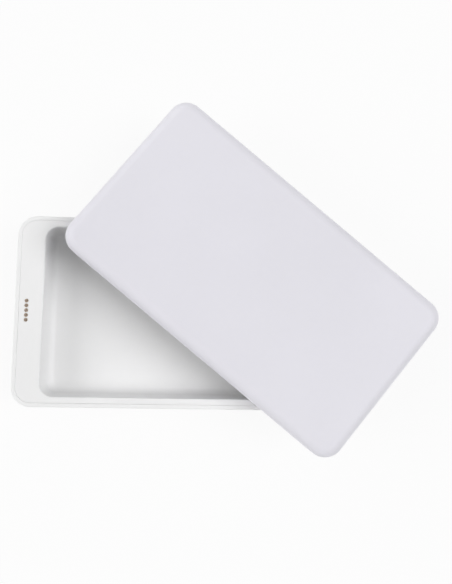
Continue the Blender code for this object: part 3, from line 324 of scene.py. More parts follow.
def stadium(half_long, half_short, z, steps=ROUND_STEPS):
    """A slot outline with round ends, long along Y."""
    points = []
    for side, start in ((1, 0.0), (-1, 180.0)):
        for step in range(steps + 1):
            angle = math.radians(start + 180.0 * step / steps)
            across = half_short * math.cos(angle)
            along = side * (half_long - half_short) + half_short * math.sin(angle)
            points.append(Vector((across, along, z)))
    return points


def quarter(radius, steps):
    """Pairs that run a quarter circle, from (0, 0) to (radius, radius), first rising."""
    pairs = []
    for step in range(steps + 1):
        angle = math.radians(90.0) * step / steps
        pairs.append((radius * (1.0 - math.cos(angle)), radius * math.sin(angle)))
    return pairs


def skin(bm, rings, closed=False, place=Matrix.Identity(4), finish=0):
    """Joins rings of points with faces. Open ends get a flat cap each."""
    levels = [[bm.verts.new(place @ point) for point in ring] for ring in rings]
    pairs = list(zip(levels, levels[1:]))
    if closed:
        pairs.append((levels[-1], levels[0]))
    faces = []
    for lower, upper in pairs:
        count = len(lower)
        for i in range(count):
            j = (i + 1) % count
            faces.append(bm.faces.new((lower[i], lower[j], upper[j], upper[i])))
    if not closed:
        faces.append(bm.faces.new(list(reversed(levels[0]))))
        faces.append(bm.faces.new(levels[-1]))
    for face in faces:
        face.material_index = finish
    bmesh.ops.recalc_face_normals(bm, faces=faces)


def turned(bm, profile, facets=CIRCLE, closed=False, place=Matrix.Identity(4), finish=0):
    """A turned solid from pairs of radius and height."""
    skin(bm, [circle(radius, z, facets) for radius, z in profile], closed, place, finish)


def soft_block(bm, low, high, edge, place=Matrix.Identity(4), finish=0):
    """A block with small rounds on its upright edges and chamfers above and below."""
    half_x = (high[0] - low[0]) / 2
    half_y = (high[1] - low[1]) / 2
    middle = at((low[0] + high[0]) / 2, (low[1] + high[1]) / 2)
    levels = ((edge / 2, low[2]), (0.0, low[2] + edge / 2))
    levels += ((0.0, high[2] - edge / 2), (edge / 2, high[2]))
    rings = []
    for inset, z in levels:
        ring = []
        for side_x, side_y, start in QUADRANTS:
            for step in range(BLOCK_STEPS + 1):
                angle = math.radians(start + 90.0 * step / BLOCK_STEPS)
                x = side_x * (half_x - edge) + (edge - inset) * math.cos(angle)
                y = side_y * (half_y - edge) + (edge - inset) * math.sin(angle)
                ring.append(Vector((x, y, z)))
        rings.append(ring)
    skin(bm, rings, False, place @ middle, finish)


def carve(target, tool, operation="DIFFERENCE"):
    """Joins one worked shape to another, or cuts it away, and gives back the result."""
    shapes = []
    for label, shape in (("target", target), ("tool", tool)):
        mesh = bpy.data.meshes.new(label)
        shape.to_mesh(mesh)
        shape.free()
        made = bpy.data.objects.new(label, mesh)
        bpy.context.scene.collection.objects.link(made)
        shapes.append(made)
    change = shapes[0].modifiers.new("carve", "BOOLEAN")
    change.solver = "EXACT"
    change.operation = operation
    change.object = shapes[1]
    state = bpy.context.evaluated_depsgraph_get()
    mesh = bpy.data.meshes.new_from_object(shapes[0].evaluated_get(state))
    result = bmesh.new()
    result.from_mesh(mesh)
    bpy.data.meshes.remove(mesh)
    for made in shapes:
        old = made.data
        bpy.data.objects.remove(made, do_unlink=True)
        bpy.data.meshes.remove(old)
    return result


def piece(name, bm, looks, body, place, stands_for=()):
    """Finishes a shape as a named piece that rides on a body of the model."""
    bm.transform(place)
    mesh = bpy.data.meshes.new(name)
    bm.to_mesh(mesh)
    bm.free()
    for look in looks:
        mesh.materials.append(look)
    mesh.shade_smooth()
    mesh.set_sharp_from_angle(angle=SHARP_ANGLE)
    made = bpy.data.objects.new(name, mesh)
    bpy.context.scene.collection.objects.link(made)
    normals = made.modifiers.new("even shading", "WEIGHTED_NORMAL")
    normals.keep_sharp = True
    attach(made, body)
    if stands_for:
        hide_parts(*stands_for)


def corners_of(x, y):
    """The four places of what repeats at the corners, each with its name."""
    return (
        ("front_left", -x, -y),
        ("front_right", x, -y),
        ("back_left", -x, y),
        ("back_right", x, y),
    )


# Material helpers


def start_material(name, color, roughness, metallic=0.0):
    """A material with its shader set to plain values, and its object coordinates."""
    made = bpy.data.materials.new(name)
    made.use_nodes = True
    tree = made.node_tree
    shader = tree.nodes["Principled BSDF"]
    shader.inputs["Base Color"].default_value = (*color, 1.0)
    shader.inputs["Roughness"].default_value = roughness
    shader.inputs["Metallic"].default_value = metallic
    made.diffuse_color = (*color, 1.0)
    place = tree.nodes.new("ShaderNodeTexCoord").outputs["Object"]
    return made, tree, shader, place


def stretched(tree, place, scale, turn=(0.0, 0.0, 0.0)):
    """Coordinates stretched and turned."""
    mapping = tree.nodes.new("ShaderNodeMapping")
    mapping.inputs["Scale"].default_value = scale
    mapping.inputs["Rotation"].default_value = turn
    tree.links.new(place, mapping.inputs["Vector"])
    return mapping.outputs["Vector"]


def noise(tree, place, scale, detail=3.0, rough=0.55):
    """A value that wanders from about 0.3 to 0.7 over the surface."""
    texture = tree.nodes.new("ShaderNodeTexNoise")
    texture.inputs["Scale"].default_value = scale
    texture.inputs["Detail"].default_value = detail
    texture.inputs["Roughness"].default_value = rough
    tree.links.new(place, texture.inputs["Vector"])
    return texture.outputs["Fac"]


def waves(tree, place, scale, kind="BANDS", direction="X", distortion=0.0):
    """Regular waves, as bands or as rings."""
    texture = tree.nodes.new("ShaderNodeTexWave")
    texture.wave_type = kind
    if kind == "BANDS":
        texture.bands_direction = direction
    else:
        texture.rings_direction = direction
    texture.inputs["Scale"].default_value = scale
    texture.inputs["Distortion"].default_value = distortion
    tree.links.new(place, texture.inputs["Vector"])
    return texture.outputs["Fac"]


def cells(tree, place, scale, feature="F1"):
    """The distance to the nearest point of a pattern of cells."""
    texture = tree.nodes.new("ShaderNodeTexVoronoi")
    texture.feature = feature
    texture.inputs["Scale"].default_value = scale
    tree.links.new(place, texture.inputs["Vector"])
    return texture.outputs["Distance"]


def spread(tree, value, low, high, to_low=0.0, to_high=1.0):
    """Carries a value from one range to another, and holds it there."""
    span = tree.nodes.new("ShaderNodeMapRange")
    span.inputs["From Min"].default_value = low
    span.inputs["From Max"].default_value = high
    span.inputs["To Min"].default_value = to_low
    span.inputs["To Max"].default_value = to_high
    tree.links.new(value, span.inputs["Value"])
    return span.outputs["Result"]


def maths(tree, operation, first, second):
    """A sum, a product or the larger of a socket and of a socket or a number."""
    node = tree.nodes.new("ShaderNodeMath")
    node.operation = operation
    tree.links.new(first, node.inputs[0])
    if isinstance(second, float):
        node.inputs[1].default_value = second
    else:
        tree.links.new(second, node.inputs[1])
    return node.outputs["Value"]


def axis_value(tree, place, axis):
    """One coordinate of the place."""
    split = tree.nodes.new("ShaderNodeSeparateXYZ")
    tree.links.new(place, split.inputs["Vector"])
    return split.outputs[axis]


def blend_colors(tree, value, first, second):
    """A colour between two, each a colour or a socket."""
    mix = tree.nodes.new("ShaderNodeMix")
    mix.data_type = "RGBA"
    tree.links.new(value, mix.inputs["Factor"])
    for name, color in (("A", first), ("B", second)):
        socket = next(s for s in mix.inputs if s.name == name and s.type == "RGBA")
        if isinstance(color, tuple):
            socket.default_value = (*color, 1.0)
        else:
            tree.links.new(color, socket)
    return next(s for s in mix.outputs if s.type == "RGBA")


def shade(color, amount):
    """A colour made a little lighter or darker."""
    return tuple(min(part * amount, 1.0) for part in color)


def tint(tree, shader, value, first, second):
    """Lets the surface's colour run between two colours with a value."""
    tree.links.new(blend_colors(tree, value, first, second), shader.inputs["Base Color"])


def wear(tree, shader, value, smoothest, roughest, low=0.3, high=0.7):
    """Lets the surface's roughness follow a value over its range."""
    tree.links.new(spread(tree, value, low, high, smoothest, roughest), shader.inputs["Roughness"])


def bumps(tree, shader, layers):
    """Lays one or more relief layers on the surface, each a height and its depth in metres."""
    normal = None
    for height, depth in layers:
        bump = tree.nodes.new("ShaderNodeBump")
        bump.inputs["Strength"].default_value = 1.0
        bump.inputs["Distance"].default_value = depth
        tree.links.new(height, bump.inputs["Height"])
        if normal is not None:
            tree.links.new(normal, bump.inputs["Normal"])
        normal = bump.outputs["Normal"]
    tree.links.new(normal, shader.inputs["Normal"])


# Materials. The scales of the patterns are repeats per metre


def moulded_plastic(name, color, roughness, grain=0.000003):
    """Satin moulded plastic: spark grain, faint flow waves, small changes of tone, hairlines."""
    made, tree, shader, place = start_material(name, color, roughness)
    shader.inputs["IOR"].default_value = 1.5
    broad = noise(tree, place, 14.0, detail=2.0)
    fine = noise(tree, place, 260.0)
    mottled = maths(tree, "ADD", broad, maths(tree, "MULTIPLY", fine, 0.3))
    tone = spread(tree, mottled, 0.45, 0.85)
    tint(tree, shader, tone, shade(color, 0.985), shade(color, 1.012))
    hair_place = stretched(tree, place, (1400.0, 40.0, 40.0), turn=(0.0, 0.0, 0.5))
    hairs = spread(tree, noise(tree, hair_place, 1.0, detail=2.0), 0.66, 0.80, 0.0, 0.10)
    patches = noise(tree, place, 45.0, detail=4.0)
    worn = spread(tree, patches, 0.35, 0.65, roughness - 0.035, roughness + 0.035)
    tree.links.new(maths(tree, "ADD", worn, hairs), shader.inputs["Roughness"])
    pits = cells(tree, place, 3600.0, "SMOOTH_F1")
    ripple = noise(tree, place, 95.0, detail=1.0)
    bumps(tree, shader, [(ripple, 0.000008), (pits, grain)])
    return made


def rubber(name, color):
    """Dull rubber with a fine skin and a little dust."""
    made, tree, shader, place = start_material(name, color, 0.8)
    dust = spread(tree, noise(tree, place, 420.0, detail=5.0, rough=0.65), 0.45, 0.7)
    tint(tree, shader, dust, color, shade(color, 1.35))
    wear(tree, shader, noise(tree, place, 160.0), 0.68, 0.88)
    bumps(tree, shader, [(noise(tree, place, 2600.0, detail=4.0), 0.00002)])
    return made


def metal(name, color, roughness, grain_scale=(1200.0, 1200.0, 60.0), mottle=0.06):
    """Metal with a drawn grain, mottled tone and small scratches."""
    made, tree, shader, place = start_material(name, color, roughness, metallic=1.0)
    grain = noise(tree, stretched(tree, place, grain_scale), 1.0, detail=4.0, rough=0.6)
    tone = spread(tree, noise(tree, place, 700.0), 0.3, 0.7)
    tint(tree, shader, tone, shade(color, 1.0 - mottle), shade(color, 1.0 + mottle))
    wear(tree, shader, grain, roughness - 0.07, roughness + 0.09)
    bumps(tree, shader, [(grain, 0.000004)])
    return made


def gold_plate(name, color, roughness):
    """Thin gold plating, darker and redder in spots."""
    made, tree, shader, place = start_material(name, color, roughness, metallic=1.0)
    spots = spread(tree, noise(tree, place, 1500.0, detail=4.0, rough=0.6), 0.35, 0.7)
    dark = (color[0] * 0.80, color[1] * 0.74, color[2] * 0.66)
    tint(tree, shader, spots, color, dark)
    wear(tree, shader, noise(tree, place, 5200.0), roughness - 0.06, roughness + 0.12)
    bumps(tree, shader, [(noise(tree, place, 8000.0), 0.000003)])
    return made


def circuit_board(name, top_level):
    """Green mask over copper tracks, and dark chips wherever the board's top is passed."""
    made, tree, shader, place = start_material(name, (0.02, 0.14, 0.06), 0.42)
    across = waves(tree, place, 900.0, direction="Y")
    along = waves(tree, place, 620.0, distortion=6.0)
    tracks = spread(tree, maths(tree, "MULTIPLY", across, along), 0.42, 0.48)
    mask = blend_colors(tree, tracks, (0.015, 0.12, 0.05), (0.05, 0.26, 0.10))
    pads = spread(tree, cells(tree, place, 460.0), 0.16, 0.20, 1.0, 0.0)
    mask = blend_colors(tree, pads, mask, (0.62, 0.60, 0.55))
    height = axis_value(tree, place, "Z")
    chips = spread(tree, height, top_level + CHIP_MARGIN, top_level + 2.0 * CHIP_MARGIN)
    specks = spread(tree, noise(tree, place, 3000.0, detail=4.0), 0.35, 0.7)
    chip_color = blend_colors(tree, specks, (0.018, 0.018, 0.020), (0.045, 0.045, 0.048))
    tint(tree, shader, chips, mask, chip_color)
    wear(tree, shader, noise(tree, place, 900.0), 0.32, 0.52)
    bumps(tree, shader, [(tracks, 0.00002), (noise(tree, place, 4000.0), 0.000004)])
    return made


def wound_copper(name):
    """Rings of enamelled wire about the upright axis."""
    made, tree, shader, place = start_material(name, (0.62, 0.28, 0.12), 0.3, metallic=1.0)
    rings = waves(tree, place, 520.0, "RINGS", "Z")
    tint(tree, shader, rings, (0.26, 0.09, 0.03), (0.72, 0.34, 0.15))
    wear(tree, shader, noise(tree, place, 700.0), 0.24, 0.42)
    bumps(tree, shader, [(rings, 0.00015)])
    return made


def dark_ceramic(name, color):
    """Pressed ferrite: dark, dull and grainy."""
    made, tree, shader, place = start_material(name, color, 0.7)
    grain = spread(tree, noise(tree, place, 1800.0, detail=5.0, rough=0.7), 0.35, 0.7)
    tint(tree, shader, grain, shade(color, 0.6), shade(color, 1.7))
    wear(tree, shader, grain, 0.6, 0.85, low=0.0, high=1.0)
    bumps(tree, shader, [(grain, 0.00002)])
    return made


def flat_cable(name):
    """Amber film over side-by-side copper tracks."""
    made, tree, shader, place = start_material(name, (0.55, 0.26, 0.05), 0.36)
    tracks = spread(tree, waves(tree, place, 330.0, direction="Y"), 0.4, 0.6)
    tint(tree, shader, tracks, (0.40, 0.17, 0.03), (0.66, 0.34, 0.08))
    wear(tree, shader, noise(tree, place, 500.0), 0.26, 0.44)
    bumps(tree, shader, [(tracks, 0.00003)])
    return made


def clear_plastic(name, color, roughness, weight):
    """Clear plastic or glass with faint streaks."""
    made, tree, shader, place = start_material(name, color, roughness)
    shader.inputs["Transmission Weight"].default_value = weight
    shader.inputs["IOR"].default_value = 1.46
    streaks = noise(tree, stretched(tree, place, (60.0, 600.0, 600.0)), 1.0)
    tint(tree, shader, streaks, shade(color, 0.93), shade(color, 1.03))
    wear(tree, shader, streaks, roughness * 0.6, roughness * 1.8)
    bumps(tree, shader, [(noise(tree, place, 800.0), 0.000004)])
    return made


def make_looks():
    """Every material of the box."""
    drawn = (60.0, 1500.0, 1500.0)
    rolled = (20.0, 1800.0, 1800.0)
    plated = (800.0, 800.0, 800.0)
    coarse = 0.000008
    return {
        "shell": moulded_plastic("shell_plastic", (0.885, 0.885, 0.885), 0.36),
        "tray": moulded_plastic("tray_plastic", (0.88, 0.88, 0.88), 0.36),
        "lid": moulded_plastic("lid_plastic", (0.795, 0.785, 0.84), 0.38, 0.000002),
        "liner": moulded_plastic("liner_plastic", (0.84, 0.84, 0.84), 0.34),
        "holder": moulded_plastic("holder_plastic", (0.82, 0.82, 0.80), 0.42, coarse),
        "button": moulded_plastic("button_plastic", (0.66, 0.66, 0.68), 0.38),
        "black": moulded_plastic("black_plastic", (0.030, 0.030, 0.032), 0.45, coarse),
        "rubber": rubber("foot_rubber", (0.26, 0.26, 0.27)),
        "steel": metal("bright_steel", (0.62, 0.62, 0.64), 0.28),
        "nickel": metal("nickel_plate", (0.60, 0.59, 0.56), 0.24, plated, 0.03),
        "can": metal("drawn_can", (0.66, 0.66, 0.68), 0.26, drawn, 0.04),
        "mirror": metal("bright_aluminium", (0.85, 0.85, 0.86), 0.14, rolled, 0.02),
        "gold": gold_plate("contact_gold", (0.74, 0.60, 0.46), 0.30),
        # The pins' gold is much darker than the barrels': painted shade and dark reflection at the
        # pin tips, laid over the plating's own colour.
        "pin": gold_plate("pin_gold_painted_shade", (0.44, 0.38, 0.35), 0.34),
        "board": circuit_board("main_board_mask", MAIN_BOARD_TOP),
        "lid_board": circuit_board("lid_board_mask", LID_BOARD_TOP),
        "copper": wound_copper("coil_copper"),
        "ferrite": dark_ceramic("ferrite_black", (0.07, 0.07, 0.08)),
        "ribbon": flat_cable("ribbon_film"),
        "clear": clear_plastic("light_pipe_clear", (0.90, 0.93, 0.95), 0.06, 0.9),
        "quartz": clear_plastic("lamp_quartz", (0.90, 0.93, 0.98), 0.05, 0.85),
    }


# The base


def base_wall_inset(z):
    """How far the base's outer wall leans in at a level."""
    return max(BASE_HEIGHT - BASE_TOP_ROUND - z, 0.0) * BASE_LEAN


def end_wall_x(z):
    """The outer face of the base's left end at a level."""
    return -(BOX_PLAN[0] - base_wall_inset(z))


def base_shell_rings():
    """Levels of the base's outer moulding: up the outside, over the ring and down inside."""
    rings = []
    foot_inset = base_wall_inset(BASE_BOTTOM_ROUND)
    for across, rise in reversed(quarter(BASE_BOTTOM_ROUND, ROUND_STEPS)):
        rings.append(plan_ring(BOX_PLAN, foot_inset + across, BASE_BOTTOM_ROUND - rise))
    for across, rise in quarter(BASE_TOP_ROUND, EDGE_STEPS):
        rings.append(plan_ring(BOX_PLAN, across, BASE_HEIGHT - BASE_TOP_ROUND + rise))
    seam_foot = BASE_HEIGHT - SEAM_EDGE_ROUND
    for across, rise in reversed(quarter(SEAM_EDGE_ROUND, EDGE_STEPS)):
        rings.append(plan_ring(BOX_PLAN, RING_WIDTH - across, seam_foot + rise))
    ledge_top = BASE_HEIGHT - RIM_PLATE - GAP
    ledge_foot = ledge_top - LEDGE_DEPTH
    ledge_inset = RING_WIDTH + LEDGE_WIDTH
    blend = ledge_foot - LEDGE_WIDTH
    rings.append(plan_ring(BOX_PLAN, RING_WIDTH, ledge_top))
    rings.append(plan_ring(BOX_PLAN, ledge_inset, ledge_top))
    rings.append(plan_ring(BOX_PLAN, ledge_inset, ledge_foot))
    rings.append(plan_ring(BOX_PLAN, base_wall_inset(blend) + WALL, blend))
    low = BASE_FLOOR + BASE_INNER_ROUND
    inner_inset = base_wall_inset(low) + WALL
    for across, drop in quarter(BASE_INNER_ROUND, EDGE_STEPS):
        rings.append(plan_ring(BOX_PLAN, inner_inset + across, low - drop))
    return rings


def hole_from_above(radius, low, ease):
    """The cut for a round hole up to level zero, with a small bevel at its mouth."""
    return [(radius, low), (radius, -ease), (radius + ease, 0.0), (radius + ease, OVERRUN)]


def mouth_from_below(radius, ease):
    """The start of the cut for a round hole from level zero up, with a small bevel."""
    return [(radius + ease, -OVERRUN), (radius + ease, 0.0), (radius, ease)]


def make_base_shell(looks):
    """The outer moulding, with its foot pockets, screw bores and the openings of the left end."""
    body = bmesh.new()
    skin(body, base_shell_rings())
    bosses = bmesh.new()
    for _, x, y in corners_of(END_ZONE_X, SCREW_Y):
        turned(bosses, [(BOSS_RADIUS, BASE_FLOOR / 2), (BOSS_RADIUS, BOSS_HEIGHT)], place=at(x, y))
    body = carve(body, bosses, "UNION")
    cuts = bmesh.new()
    pocket_radius = FOOT_RADIUS + GAP
    pocket = mouth_from_below(pocket_radius, OPENING_EASE) + [(pocket_radius, FOOT_POCKET)]
    for _, x, y in corners_of(FOOT_X, FOOT_Y):
        turned(cuts, pocket, place=at(x, y))
    seat = BOSS_HEIGHT - BASE_SCREW_SEAT
    bore = mouth_from_below(COUNTERBORE_RADIUS, BORE_EASE) + [(COUNTERBORE_RADIUS, seat)]
    bore += [(BORE_RADIUS, seat), (BORE_RADIUS, BOSS_HEIGHT + OVERRUN)]
    for _, x, y in corners_of(END_ZONE_X, SCREW_Y):
        turned(cuts, bore, place=at(x, y))
    inner = -(WALL + OVERRUN)
    for y, radius in ((BUTTON_Y, BUTTON_RADIUS), (LIGHT_Y, LIGHT_RADIUS)):
        place = at(end_wall_x(END_LEVEL), y, END_LEVEL) @ OUTWARD_LEFT
        turned(cuts, hole_from_above(radius + GAP, inner, OPENING_EASE), place=place)
    half_long, half_short = SOCKET_OPENING
    levels = ((0.0, inner), (0.0, -OPENING_EASE), (OPENING_EASE, 0.0), (OPENING_EASE, OVERRUN))
    opening = [stadium(half_long + ease, half_short + ease, z) for ease, z in levels]
    place = at(end_wall_x(SOCKET_LEVEL), SOCKET_Y, SOCKET_LEVEL) @ OUTWARD_LEFT
    skin(cuts, opening, False, place)
    body = carve(body, cuts)
    look = [looks["shell"]]
    piece("base_shell_fine", body, look, "base", BASE_PLACE, ["base_shell"])


def moulding_rings(depth, fillet, edge_inset):
    """Levels of a rim plate with a hollow: its underside, its edge, its face, then the hollow."""
    rings = []
    corner = (depth - fillet) * CAVITY_LEAN + fillet
    outer = fillet + MOULDING_WALL
    for step in range(ROUND_STEPS + 1):
        angle = math.radians(90.0) * (1.0 - step / ROUND_STEPS)
        inset = corner - outer * math.cos(angle)
        rings.append(plan_ring(CAVITY_PLAN, inset, -(depth - fillet) - outer * math.sin(angle)))
    rings.append(plan_ring(CAVITY_PLAN, RIM_PLATE * CAVITY_LEAN - MOULDING_WALL, -RIM_PLATE))
    rings.append(plan_ring(BOX_PLAN, edge_inset, -RIM_PLATE))
    for across, rise in quarter(SEAM_EDGE_ROUND, EDGE_STEPS):
        rings.append(plan_ring(BOX_PLAN, edge_inset + across, rise - SEAM_EDGE_ROUND))
    for across, rise in reversed(quarter(RIM_EDGE_ROUND, ROUND_STEPS)[1:]):
        rings.append(plan_ring(CAVITY_PLAN, -across, rise - RIM_EDGE_ROUND))
    rings.append(plan_ring(CAVITY_PLAN, RIM_EDGE_ROUND * CAVITY_LEAN, -RIM_EDGE_ROUND))
    for step in range(ROUND_STEPS + 1):
        angle = math.radians(90.0) * step / ROUND_STEPS
        inset = corner - fillet * math.cos(angle)
        rings.append(plan_ring(CAVITY_PLAN, inset, -(depth - fillet) - fillet * math.sin(angle)))
    return rings


def contact_holes(cuts, radius):
    """Adds the row of eased holes for the contacts to the cuts of a rim plate."""
    hole = hole_from_above(radius + CONTACT_GAP, -RIM_PLATE - OVERRUN, CONTACT_EASE)
    for y in CONTACT_YS:
        turned(cuts, hole, SMALL_CIRCLE, place=at(CONTACT_X, y))


def make_base_tray(looks):
    """The deck and the cavity in one moulding, with eased holes for the contacts."""
    body = bmesh.new()
    skin(body, moulding_rings(CAVITY_DEPTH, CAVITY_FILLET, RING_WIDTH + SEAM))
    cuts = bmesh.new()
    contact_holes(cuts, BARREL_RADIUS)
    body = carve(body, cuts)
    piece("base_tray_fine", body, [looks["tray"]], "base", DECK_PLACE, ["base_tray"])


def make_feet(looks):
    """Four rubber feet with a rounded edge and two turned grooves in the sole."""
    profile = []
    for inner in GROOVE_RADII:
        outer = inner + GROOVE_WIDTH
        profile += [(inner, 0.0), (inner + GROOVE_SLOPE, GROOVE_DEPTH)]
        profile += [(outer - GROOVE_SLOPE, GROOVE_DEPTH), (outer, 0.0)]
    for across, rise in reversed(quarter(FOOT_ROUND, EDGE_STEPS)):
        profile.append((FOOT_RADIUS - across, FOOT_ROUND - rise))
    profile.append((FOOT_RADIUS, FOOT_HEIGHT))
    for name, x, y in corners_of(FOOT_X, FOOT_Y):
        bm = bmesh.new()
        turned(bm, profile)
        label = "foot_" + name
        piece(label + "_fine", bm, [looks["rubber"]], "base", at(x, y), [label])


def cross_head_screw(length):
    """A pan-head screw, head down, with a cross recess and a cut thread."""
    bm = bmesh.new()
    profile = []
    for across, rise in reversed(quarter(SCREW_HEAD_ROUND, HEAD_STEPS)):
        height = (SCREW_HEAD_ROUND - rise) * SCREW_HEAD_FLATNESS
        profile.append((SCREW_HEAD_RADIUS - across, height))
    profile += [(SCREW_HEAD_RADIUS, SCREW_HEAD_HEIGHT), (SCREW_SHANK_RADIUS, SCREW_HEAD_HEIGHT)]
    end = SCREW_HEAD_HEIGHT + length
    level = SCREW_HEAD_HEIGHT + THREAD_START
    while level < end - 2.0 * THREAD_PITCH:
        profile.append((SCREW_SHANK_RADIUS, level))
        profile.append((SCREW_SHANK_RADIUS - THREAD_DEPTH, level + THREAD_PITCH / 2))
        level += THREAD_PITCH
    profile += [(SCREW_SHANK_RADIUS, end - SCREW_TIP), (SCREW_SHANK_RADIUS / 2, end)]
    turned(bm, profile, SMALL_CIRCLE)
    recess = bmesh.new()
    rings = []
    for depth, half_long, half_wide in CROSS_RECESS:
        arm = ((half_wide, half_wide), (half_long, half_wide), (half_long, -half_wide))
        ring = []
        for turns in range(4):
            angle = math.radians(-90.0 * turns)
            cosine, sine = math.cos(angle), math.sin(angle)
            for x, y in arm:
                ring.append(Vector((x * cosine - y * sine, x * sine + y * cosine, depth)))
        rings.append(ring)
    skin(recess, rings)
    return carve(bm, recess)


def make_base_screws(looks):
    """Four screws, seen at the bottom of their bores."""
    level = SOLE + BOSS_HEIGHT - BASE_SCREW_SEAT - GAP - SCREW_HEAD_HEIGHT
    for name, x, y in corners_of(END_ZONE_X, SCREW_Y):
        bm = cross_head_screw(BASE_SCREW_LENGTH)
        label = "base_screw_" + name
        piece(label + "_fine", bm, [looks["steel"]], "base", at(x, y, level), [label])


def make_contacts(looks):
    """Gold barrels with a bevelled mouth, and their round-nosed pins."""
    barrel = (
        (BARREL_RADIUS, -BARREL_LENGTH),
        (BARREL_RADIUS, -CONTACT_BEVEL),
        (BARREL_RADIUS - CONTACT_BEVEL, 0.0),
        (BARREL_BORE + CONTACT_BEVEL, 0.0),
        (BARREL_BORE, -CONTACT_BEVEL),
        (BARREL_BORE, -BARREL_DEPTH),
    )
    pin = [(PIN_RADIUS, PIN_PROUD - PIN_LENGTH)]
    for step in range(PIN_DOME_STEPS + 1):
        angle = PIN_DOME * step / PIN_DOME_STEPS
        rise = PIN_PROUD * math.sin(angle) / math.sin(PIN_DOME)
        pin.append((PIN_RADIUS * math.cos(angle), rise))
    for number, y in enumerate(CONTACT_YS, 1):
        place = DECK_PLACE @ at(CONTACT_X, y)
        bm = bmesh.new()
        turned(bm, barrel, SMALL_CIRCLE)
        label = f"contact_barrel_{number}"
        piece(label + "_fine", bm, [looks["gold"]], "base", place, [label])
        bm = bmesh.new()
        turned(bm, pin, SMALL_CIRCLE)
        label = f"contact_pin_{number}"
        # The pins take the darkened gold, which holds painted shade and dark reflection at their
        # tips.
        piece(label + "_fine", bm, [looks["pin"]], f"contact_{number}", place, [label])


def power_mark():
    """The cut of a plain power mark: an open ring and a bar."""
    bm = bmesh.new()
    section = (
        (MARK_OUTER, -MARK_DEPTH),
        (MARK_OUTER, MARK_OVERRUN),
        (MARK_INNER, MARK_OVERRUN),
        (MARK_INNER, -MARK_DEPTH),
    )
    start = 90.0 + MARK_HALF_OPENING
    sweep = 360.0 - 2.0 * MARK_HALF_OPENING
    rings = []
    for step in range(MARK_STEPS + 1):
        angle = math.radians(start + sweep * step / MARK_STEPS)
        cosine, sine = math.cos(angle), math.sin(angle)
        rings.append([Vector((radius * cosine, radius * sine, z)) for radius, z in section])
    skin(bm, rings)
    half_width, bar_foot, bar_head = MARK_BAR
    low = (-half_width, bar_foot, -MARK_DEPTH)
    high = (half_width, bar_head, MARK_OVERRUN)
    soft_block(bm, low, high, MARK_BAR_EDGE)
    return bm


def make_power_button(looks):
    """The button's cap: a dished face in a rounded edge, with a plain power mark."""
    low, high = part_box("power_button")
    crown = high.x - low.x - BUTTON_FLANGE
    profile = [(BUTTON_FLANGE_RADIUS, -BUTTON_FLANGE), (BUTTON_FLANGE_RADIUS, 0.0)]
    profile.append((BUTTON_RADIUS, 0.0))
    for across, rise in quarter(BUTTON_ROUND, EDGE_STEPS):
        profile.append((BUTTON_RADIUS - across, crown - BUTTON_ROUND + rise))
    profile += [(radius, crown - depth) for radius, depth in BUTTON_DISH]
    bm = bmesh.new()
    turned(bm, profile)
    mark = power_mark()
    dish_floor = crown - BUTTON_DISH[-1][1]
    mark.transform(at(0.0, 0.0, dish_floor) @ Matrix.Rotation(math.radians(90.0), 4, "Z"))
    bm = carve(bm, mark)
    place = at(high.x - BUTTON_FLANGE, BUTTON_Y, SOLE + END_LEVEL) @ OUTWARD_LEFT
    look = [looks["button"]]
    piece("power_button_fine", bm, look, "button", place, ["power_button"])


def make_usb_socket(looks):
    """A rolled can with a rounded lip, and a black tongue with gold fingers."""
    low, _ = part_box("usb_socket")
    place = at(low.x, SOCKET_Y, SOLE + SOCKET_LEVEL) @ OUTWARD_LEFT
    levels = (
        (0.0, -SOCKET_LENGTH),
        (0.0, -SOCKET_WALL / 2),
        (SOCKET_WALL / 3, 0.0),
        (SOCKET_WALL * 2 / 3, 0.0),
        (SOCKET_WALL, -SOCKET_WALL / 2),
        (SOCKET_WALL, -SOCKET_DEPTH),
    )
    half_long, half_short = SOCKET_CAN
    bm = bmesh.new()
    skin(bm, [stadium(half_long - inset, half_short - inset, z) for inset, z in levels])
    piece("usb_socket_can", bm, [looks["can"]], "base", place, ["usb_socket"])
    half_thick, half_wide = TONGUE
    bm = bmesh.new()
    low = (-half_thick, -half_wide, -SOCKET_DEPTH)
    high = (half_thick, half_wide, -TONGUE_FRONT)
    soft_block(bm, low, high, TONGUE_EDGE)
    for index in range(FINGERS):
        y = (index - (FINGERS - 1) / 2) * FINGER_PITCH
        for side in (-1.0, 1.0):
            lower, upper = sorted(side * level for level in FINGER_LEVELS)
            low = (lower, y - FINGER_HALF_WIDTH, FINGER_ENDS[0])
            high = (upper, y + FINGER_HALF_WIDTH, FINGER_ENDS[1])
            soft_block(bm, low, high, FINGER_EDGE, finish=1)
    piece("usb_socket_tongue", bm, [looks["black"], looks["gold"]], "base", place)


def make_light_pipe(looks):
    """The clear rod of the light, with a domed end."""
    low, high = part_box("light_pipe")
    length = high.x - low.x - LIGHT_DOME_RISE
    profile = [(LIGHT_RADIUS - LIGHT_BEVEL, 0.0), (LIGHT_RADIUS, LIGHT_BEVEL)]
    profile.append((LIGHT_RADIUS, length))
    for step in range(1, LIGHT_DOME_STEPS + 1):
        angle = LIGHT_DOME * step / LIGHT_DOME_STEPS
        rise = LIGHT_DOME_RISE * math.sin(angle)
        profile.append((LIGHT_RADIUS * math.cos(angle), length + rise))
    bm = bmesh.new()
    turned(bm, profile, SMALL_CIRCLE)
    place = at(high.x, LIGHT_Y, SOLE + END_LEVEL) @ OUTWARD_LEFT
    piece("light_pipe_fine", bm, [looks["clear"]], "base", place, ["light_pipe"])


# The lid


def lid_wall_inset(z):
    """How far the lid's outer wall leans in at a level."""
    return LID_INSET + z * LID_LEAN


